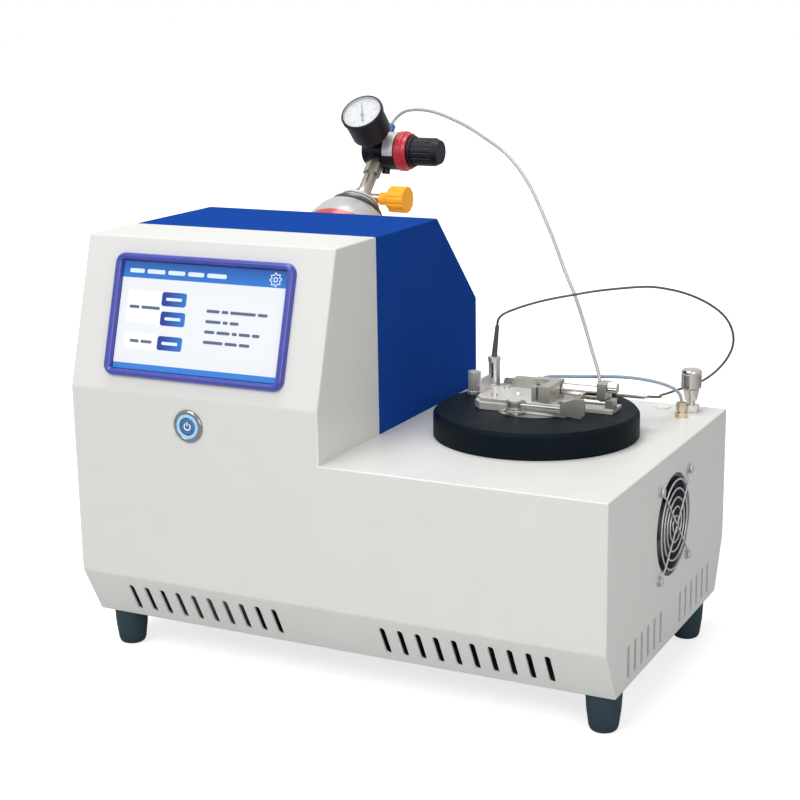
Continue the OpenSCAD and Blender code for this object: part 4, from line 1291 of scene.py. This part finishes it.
@dataclass
class Fan(Assembly):
    """The fan, its blades and its wire guard."""

    hub: tuple[Flat, ...] = (
        (0.0, -5.5), (12.5, -5.5), (15.2, -6.2), (16.0, -8.0), (16.0, -22.5), (13.0, -22.5),
        (13.0, -9.5), (2.0, -9.5), (2.0, -25.0), (0.0, -25.0))
    blades: int = 7
    root_r: float = 15.4
    tip_r: float = 36.6
    blade_z: float = -14.2
    blade_h: float = 15.0
    blade_t: float = 1.0
    sweep: float = 0.32
    chord: float = 40.0
    chord_gain: float = 3.0
    tip_loss: float = 3.0
    camber: float = 1.6
    spans: int = 6
    chords: int = 6
    guard_rings: int = 5
    ring_z: float = 1.9
    first_ring: float = 7.0
    ring_pitch: float = 7.2
    ring_wire: float = 0.7
    arm: tuple[Flat, ...] = (
        (1.6, 3.1), (20, 3.1), (39.5, 3.1), (41.2, 2.95), (42.6, 2.5), (47.4, 1.0))
    arm_r: float = 0.8
    screw_at: float = 35.76
    eye: tuple[Flat, ...] = ((2.4, 0.05), (4.2, 0.05), (4.2, 1.8), (2.4, 1.8))

    def blade_point(self, turn: float, i: int, k: int) -> Point:
        """Gives a point of a swept and twisted blade.

        Args:
            turn: Where the blade stands, in radians.
            i: Step from root to tip.
            k: Step from edge to edge.

        Returns:
            The point midway through the blade.
        """
        out = i / self.spans
        t = k / self.chords - 0.5
        r = self.root_r + (self.tip_r - self.root_r) * out
        a = turn + self.sweep * out ** 1.5 + math.radians(self.chord + self.chord_gain * i) * t
        bow = self.camber * (4 * t * t - 0.5)
        return polar(r, a, self.blade_z + t * (self.blade_h - self.tip_loss * out) + bow)

    def rotor(self) -> None:
        """Makes the hub and its swept blades."""
        shape = Shape("fan_blades", FAN).lathe(self.hub)
        n, m = self.spans, self.chords
        rim = ([(0, k) for k in range(m + 1)] + [(i, m) for i in range(1, n + 1)]
               + [(n, k) for k in range(m - 1, -1, -1)] + [(i, 0) for i in range(n - 1, 0, -1)])
        for blade in range(self.blades):
            grid = [[self.blade_point(math.tau * blade / self.blades, i, k)
                     for k in range(m + 1)] for i in range(n + 1)]
            front, back = ([shape.row((x, y, z + lift) for x, y, z in row) for row in grid]
                           for lift in (self.blade_t / 2, -self.blade_t / 2))
            for rows in (front, back):
                for a, b in zip(rows, rows[1:]):
                    shape.join(a, b, around=False)
            shape.join([front[i][k] for i, k in rim], [back[i][k] for i, k in rim])
        self.place(shape.mesh([FAN_SLATE]), "fan_rotor", ("fan_rotor",))

    def guard(self) -> None:
        """Makes the wire guard and its screw eyes."""
        rings = wire_rings("guard_rings", GUARD_WIRE, FAN.at(0.0, 0.0, self.ring_z),
                           self.guard_rings, self.first_ring, self.ring_pitch,
                           self.ring_wire)
        self.place(rings, "fan_guard", ("fan_guard",))
        arms = Shape("guard_arms", FAN)
        for corner in (45, 135, 225, 315):
            a = math.radians(corner)
            arms.tube([Vector(polar(r, a, z)) for r, z in self.arm], self.arm_r, 10)
        self.place(arms.mesh([GUARD_WIRE]), "fan_guard")
        for a, b in ((1, 1), (1, -1), (-1, 1), (-1, -1)):
            eye = Shape("guard_eye", FAN.at(a * self.screw_at, b * self.screw_at, 0.0))
            eye.lathe(self.eye, 24, closed=True)
            self.place(eye.mesh([GUARD_WIRE]), "fan_guard")

    def build(self) -> None:
        """Dresses the fan."""
        self.coat(FAN_SLATE, "fan_frame")
        self.rotor()
        self.guard()
        self.refine(GUARD_WIRE, 0.5, "fan_screws")


@dataclass
class TestChamber(Assembly):
    """The insulating disk, the cup and what cools and heats it."""

    screw_turn: float = 7.0
    screw_z: float = -14.0
    screw: tuple[Flat, ...] = (
        (0.0, -0.8), (1.2, -0.8), (1.3, 0.0), (2.3, 0.0), (2.3, -1.2), (0.0, -1.2))

    def build(self) -> None:
        """Dresses the chamber."""
        self.refine(DISK_SLATE, 0.6, "insulating_disk", corner=30.0)
        self.coat(ALLOY, "cup_block", "heat_sink")
        self.coat(DEEP_BLACK, "cup_seal")
        self.coat(CERAMIC, "cooling_module")
        self.refine(ANODISED, 0.35, "hinge_base")
        self.coat(STEEL, "hinge_pin")
        self.refine(BRASS, 0.2, "gas_elbow")
        self.refine(STEEL, 0.2, "clamp_studs")
        self.refine(STEEL, 0.3, "sensor_plug")
        a = math.radians(self.screw_turn)
        side = DISK.at(*polar(DISK_R, a, self.screw_z)).facing(
            (-math.sin(a), math.cos(a), 0.0), (0.0, 0.0, 1.0))
        screw = Shape("disk_set_screw", side).lathe(self.screw, 20)
        self.place(screw.mesh([DEEP_BLACK]), "insulating_disk")


@dataclass
class Lid(Assembly):
    """The lid, its slide and the test flame's jet."""

    knob: Point = (-8.5, -24.0, 7.4)
    knob_r: float = 5.05
    knob_h: float = 4.4
    knurls: int = 40
    knurl_depth: float = 0.5
    knurl_share: float = 0.55
    shaft: Point = (0.0, 8.0, 16.0)
    coil_u: float = 21.0
    coil_r: float = 4.35
    coil_length: float = 26.0
    coil_turns: float = 13.0
    coil_wire: float = 0.42

    def build(self) -> None:
        """Dresses the lid and its parts."""
        self.refine(STEEL, 0.35, "lid_plate", "lid_cover")
        self.refine(STEEL, 0.05, "shutter_slide")
        self.refine(BLOCK_STEEL, 0.35, "slide_actuator", "jet_block")
        self.refine(NICKEL, 0.2, "gas_jet", "lid_screws", "flame_screw")
        self.refine(SATIN_STEEL, 0.35, "hinge_leaf")
        self.refine(UPRIGHT_STEEL, 0.25, "lock_knob", "probe_holder", "side_knob")
        self.refine(SATIN_STEEL, 0.3, "lock_lever")
        self.refine(SLEEVE, 0.15, "flash_probe")
        ridge = math.tau * self.knob_r / self.knurls * self.knurl_share
        knurl = radial_copies("lock_knurl", NICKEL, DISK.at(*self.knob),
                              (self.knurl_depth, ridge, self.knob_h), self.knurls, self.knob_r)
        self.place(knurl, "lock_knob")
        shaft = DISK.at(*self.shaft).facing((0.0, 0.0, -1.0), (0.0, 1.0, 0.0))
        coil = spring("jet_spring", NICKEL, shaft.at(0.0, 0.0, self.coil_u), self.coil_r,
                      self.coil_length, self.coil_turns, self.coil_wire)
        self.place(coil, "gas_jet")


@dataclass
class GasFittings(Assembly):
    """The needle valve and the fittings on the deck."""

    grip: tuple[Flat, ...] = (
        (2.6, 20.0), (7.2, 20.0), (8.1, 20.8), (8.1, 32.4), (8.5, 33.0), (8.5, 34.6),
        (7.6, 36.1), (5.6, 36.5), (0.0, 36.5), (0.0, 30.5), (2.6, 30.5))
    ridge: Point = (0.6, 0.62, 11.0)
    ridge_r: float = 8.15
    ridge_z: float = 26.6
    ridges: int = 44

    def build(self) -> None:
        """Dresses the valve, the tube fitting and the plug."""
        self.refine(NICKEL, 0.35, "valve_body")
        self.refine(BRASS, 0.3, "tube_fitting")
        self.refine(WHITE_PLASTIC, 0.3, "deck_plug")
        knob = Shape("valve_grip", VALVE).lathe(self.grip, closed=True)
        self.place(knob.mesh([NICKEL]), "valve_knob", ("valve_knob",))
        ridges = radial_copies("valve_knurl", NICKEL, VALVE.at(0.0, 0.0, self.ridge_z),
                               self.ridge, self.ridges, self.ridge_r)
        self.place(ridges, "valve_knob")


@dataclass
class GasSupply(Assembly):
    """The canister, its valve, the regulator and the gauge."""

    band_z: Flat = (9.4, 20.0)
    band_r: Flat = (17.5, 17.3)
    band_turn: tuple[float, float, int] = (200.0, 126.0, 21)
    face: float = 51.02
    sweep: float = 270.0
    strokes: tuple[tuple[str, int, Point], ...] = (
        ("dial_long_strokes", 6, (2.2, 0.45, 0.05)), ("dial_short_strokes", 26, (1.2, 0.22, 0.05)))
    stroke_r: float = 15.6
    arc_r: float = 14.1
    arc_line: float = 0.12
    number_r: float = 11.6
    number_h: float = 3.2
    number_t: float = 0.03
    number_lift: float = 0.02
    number_corner: float = 30.0
    numbers: tuple[str, ...] = ("0", "2", "4", "6", "8", "10")

    def gauge(self) -> None:
        """Marks the dial with strokes and plain numbers."""
        dial = GAUGE.at(0.0, 0.0, self.face)
        start = 90.0 - self.sweep / 2
        for name, count, size in self.strokes:
            step = self.sweep / (count - 1)
            mesh = radial_copies(name, INK, dial, size, count, self.stroke_r, start, step * count)
            self.place(mesh, "gauge_dial")
        path = [Vector(polar(self.arc_r, a)) for a in arc_turns(start, self.sweep, 48)]
        band = Shape("dial_band", dial).tube(path, self.arc_line, 6)
        self.place(band.mesh([RED_INK]), "gauge_dial")
        for index, text in enumerate(self.numbers):
            a = math.radians(start + self.sweep - self.sweep / 5 * index)
            self.number(text, dial.at(*polar(self.number_r, a, self.number_lift)))

    def number(self, text: str, spot: Place) -> None:
        """Sets one number on the dial.

        Args:
            text: The digits.
            spot: The dial's axes, moved to the number's middle.
        """
        curve = bpy.data.curves.new("dial_number_" + text, "FONT")
        curve.body = text
        curve.size = self.number_h
        curve.align_x = "CENTER"
        curve.align_y = "CENTER"
        curve.extrude = self.number_t
        mesh = baked(linked(curve.name, curve), curve.name)
        mesh.transform(spot.matrix())
        self.place(smoothed(mesh, [INK], self.number_corner), "gauge_dial")

    def label(self) -> None:
        """Wraps the silver band round the regulator."""
        shape = Shape("regulator_band", REGULATOR)
        (low, high), (outer, inner) = self.band_z, self.band_r
        corners = ((outer, low), (outer, high), (inner, high), (inner, low))
        loops = [shape.row(polar(r, a, z) for r, z in corners)
                 for a in arc_turns(*self.band_turn)]
        for a, b in zip(loops, loops[1:]):
            shape.join(a, b)
        shape.face(loops[0])
        shape.face(loops[-1][::-1])
        self.place(shape.mesh([LABEL_SILVER]), "regulator_body")

    def build(self) -> None:
        """Dresses the gas supply."""
        self.refine(CAN_SILVER, 0.4, "gas_canister")
        self.refine(WARM_NICKEL, 0.35, "canister_valve")
        self.refine(ORANGE_WITH_PAINTED_GLOW, 0.7, "canister_knob")
        self.refine(BLACK, 0.5, "regulator_body")
        self.refine(RED, 0.8, "lock_ring")
        self.refine(BLACK, 0.5, "regulator_knob")
        self.refine(BLACK, 0.4, "gauge_case")
        self.refine(OUTLET_BLUE, 0.3, "outlet_fitting")
        self.coat(DIAL, "gauge_dial")
        self.coat(INK, "gauge_needle")
        self.coat(GAUGE_GLASS, "gauge_lens")
        self.gauge()
        self.label()


# ---- studio -------------------------------------------------------------------------


@dataclass
class Studio:
    """The camera, the lamps, the world and the floor."""

    stand: Point = (839.5, -1070.6, 511.7 + FOOT_H)
    ahead: Point = (-0.43804, 0.86645, -0.23955)
    roll: float = -0.895
    lens: float = 76.08
    lamps: tuple[tuple[str, Point, float, float], ...] = (
        ("key", (-0.7, -2.1, 2.2), 1.6, 35.0),
        ("fill", (1.5, -1.6, 0.9), 1.2, 12.0),
        ("top", (-0.2, 0.1, 2.3), 1.2, 26.0))
    aim: Point = (0.0, 0.0, 0.2)
    white: tuple[float, float, float, float] = (1.0, 1.0, 1.0, 1.0)
    dim: float = 0.3
    shine: float = 0.7
    paper: Flat = (0.61, 0.63)
    glow_at: Flat = (0.4, 1.6)
    glow: Flat = (0.7, 1.0)
    mottle: float = 3.0
    floor_half: float = 12.0

    def camera(self) -> None:
        """Sets up the camera."""
        data = bpy.data.cameras.new("camera")
        data.lens = self.lens
        data.sensor_width = 36.0
        data.clip_start = 0.05
        data.clip_end = 50.0
        camera = linked("camera", data)
        ahead = Vector(self.ahead).normalized()
        side = ahead.cross(Vector((0.0, 0.0, 1.0))).normalized()
        up = side.cross(ahead)
        a = math.radians(self.roll)
        x = side * math.cos(a) + up * math.sin(a)
        y = up * math.cos(a) - side * math.sin(a)
        m = Matrix((x, y, -ahead)).transposed().to_4x4()
        m.translation = BENCH.point(*self.stand)
        camera.matrix_world = m
        bpy.context.scene.camera = camera

    def lamp(self, name: str, at: Point, size: float, power: float) -> None:
        """Hangs one soft square lamp that faces the object.

        Args:
            name: The lamp's name.
            at: Its place in metres.
            size: Its side in metres.
            power: Its power in watts.
        """
        data = bpy.data.lights.new(name, "AREA")
        data.energy = power
        data.size = size
        lamp = linked(name, data)
        lamp.location = at
        aim = Vector(self.aim) - Vector(at)
        lamp.rotation_euler = aim.to_track_quat("-Z", "Y").to_euler()

    def world(self) -> None:
        """Makes the surroundings: dim as a light, white to the camera, pale in reflections."""
        world = bpy.data.worlds.new("studio")
        world.use_nodes = True
        graph = Nodes(world.node_tree)
        ray = graph.add("LightPath").outputs
        shine = graph.math("MULTIPLY", ray["Is Glossy Ray"], self.shine)
        direct = graph.math("MAXIMUM", ray["Is Camera Ray"], ray["Is Transmission Ray"])
        seen = graph.math("MAXIMUM", direct, shine)
        strength = graph.add("MapRange", {0: seen, 3: self.dim, 4: 1.0}).outputs[0]
        back = graph.add("Background", {0: self.white, 1: strength})
        graph.add("OutputWorld", {0: back.outputs[0]})
        bpy.context.scene.world = world

    def floor(self) -> None:
        """Lays the pale floor, which fades to white away from the object."""
        graph = Graph("floor_paper")
        seen = graph.add("LightPath").outputs["Is Camera Ray"]
        spot = graph.spot()
        noise = graph.noise(spot, self.mottle, 2.0)
        color = graph.blend(noise, *(rgba((shade,) * 3) for shade in self.paper))
        away = graph.add("VectorMath", {0: spot}, operation="LENGTH").outputs["Value"]
        lift = graph.add("MapRange", {
            0: away, 1: self.glow_at[0], 2: self.glow_at[1], 3: self.glow[0], 4: self.glow[1],
        }).outputs[0]
        shader = graph.add("BsdfPrincipled", {
            "Base Color": color, "Roughness": 0.9, "Emission Color": self.white,
            "Emission Strength": graph.math("MULTIPLY", seen, lift),
        })
        mesh = bpy.data.meshes.new("floor")
        s = self.floor_half
        mesh.from_pydata([(-s, -s, 0), (s, -s, 0), (s, s, 0), (-s, s, 0)], [], [(0, 1, 2, 3)])
        mesh.materials.append(graph.close(shader))
        linked("floor", mesh)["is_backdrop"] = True

    def build(self) -> None:
        """Sets up the studio."""
        self.camera()
        self.world()
        self.floor()
        for lamp in self.lamps:
            self.lamp(*lamp)
        bpy.context.scene.view_settings.view_transform = "Standard"


def main() -> dict:
    """Builds the scene.

    Returns:
        The CAD box and the visual model's box.
    """
    logging.basicConfig(level=logging.INFO)
    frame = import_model()
    cad = [list(corner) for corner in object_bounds()]
    Studio().build()
    for group in (Cords, Cabinet, Display, PowerButton, Fan, TestChamber, Lid, GasFittings,
                  GasSupply):
        group(frame).build()
        LOG.info("%s done", group.__name__)
    return {"cad": cad, "visual": [list(corner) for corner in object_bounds()]}


if __name__ == "__main__":
    main()
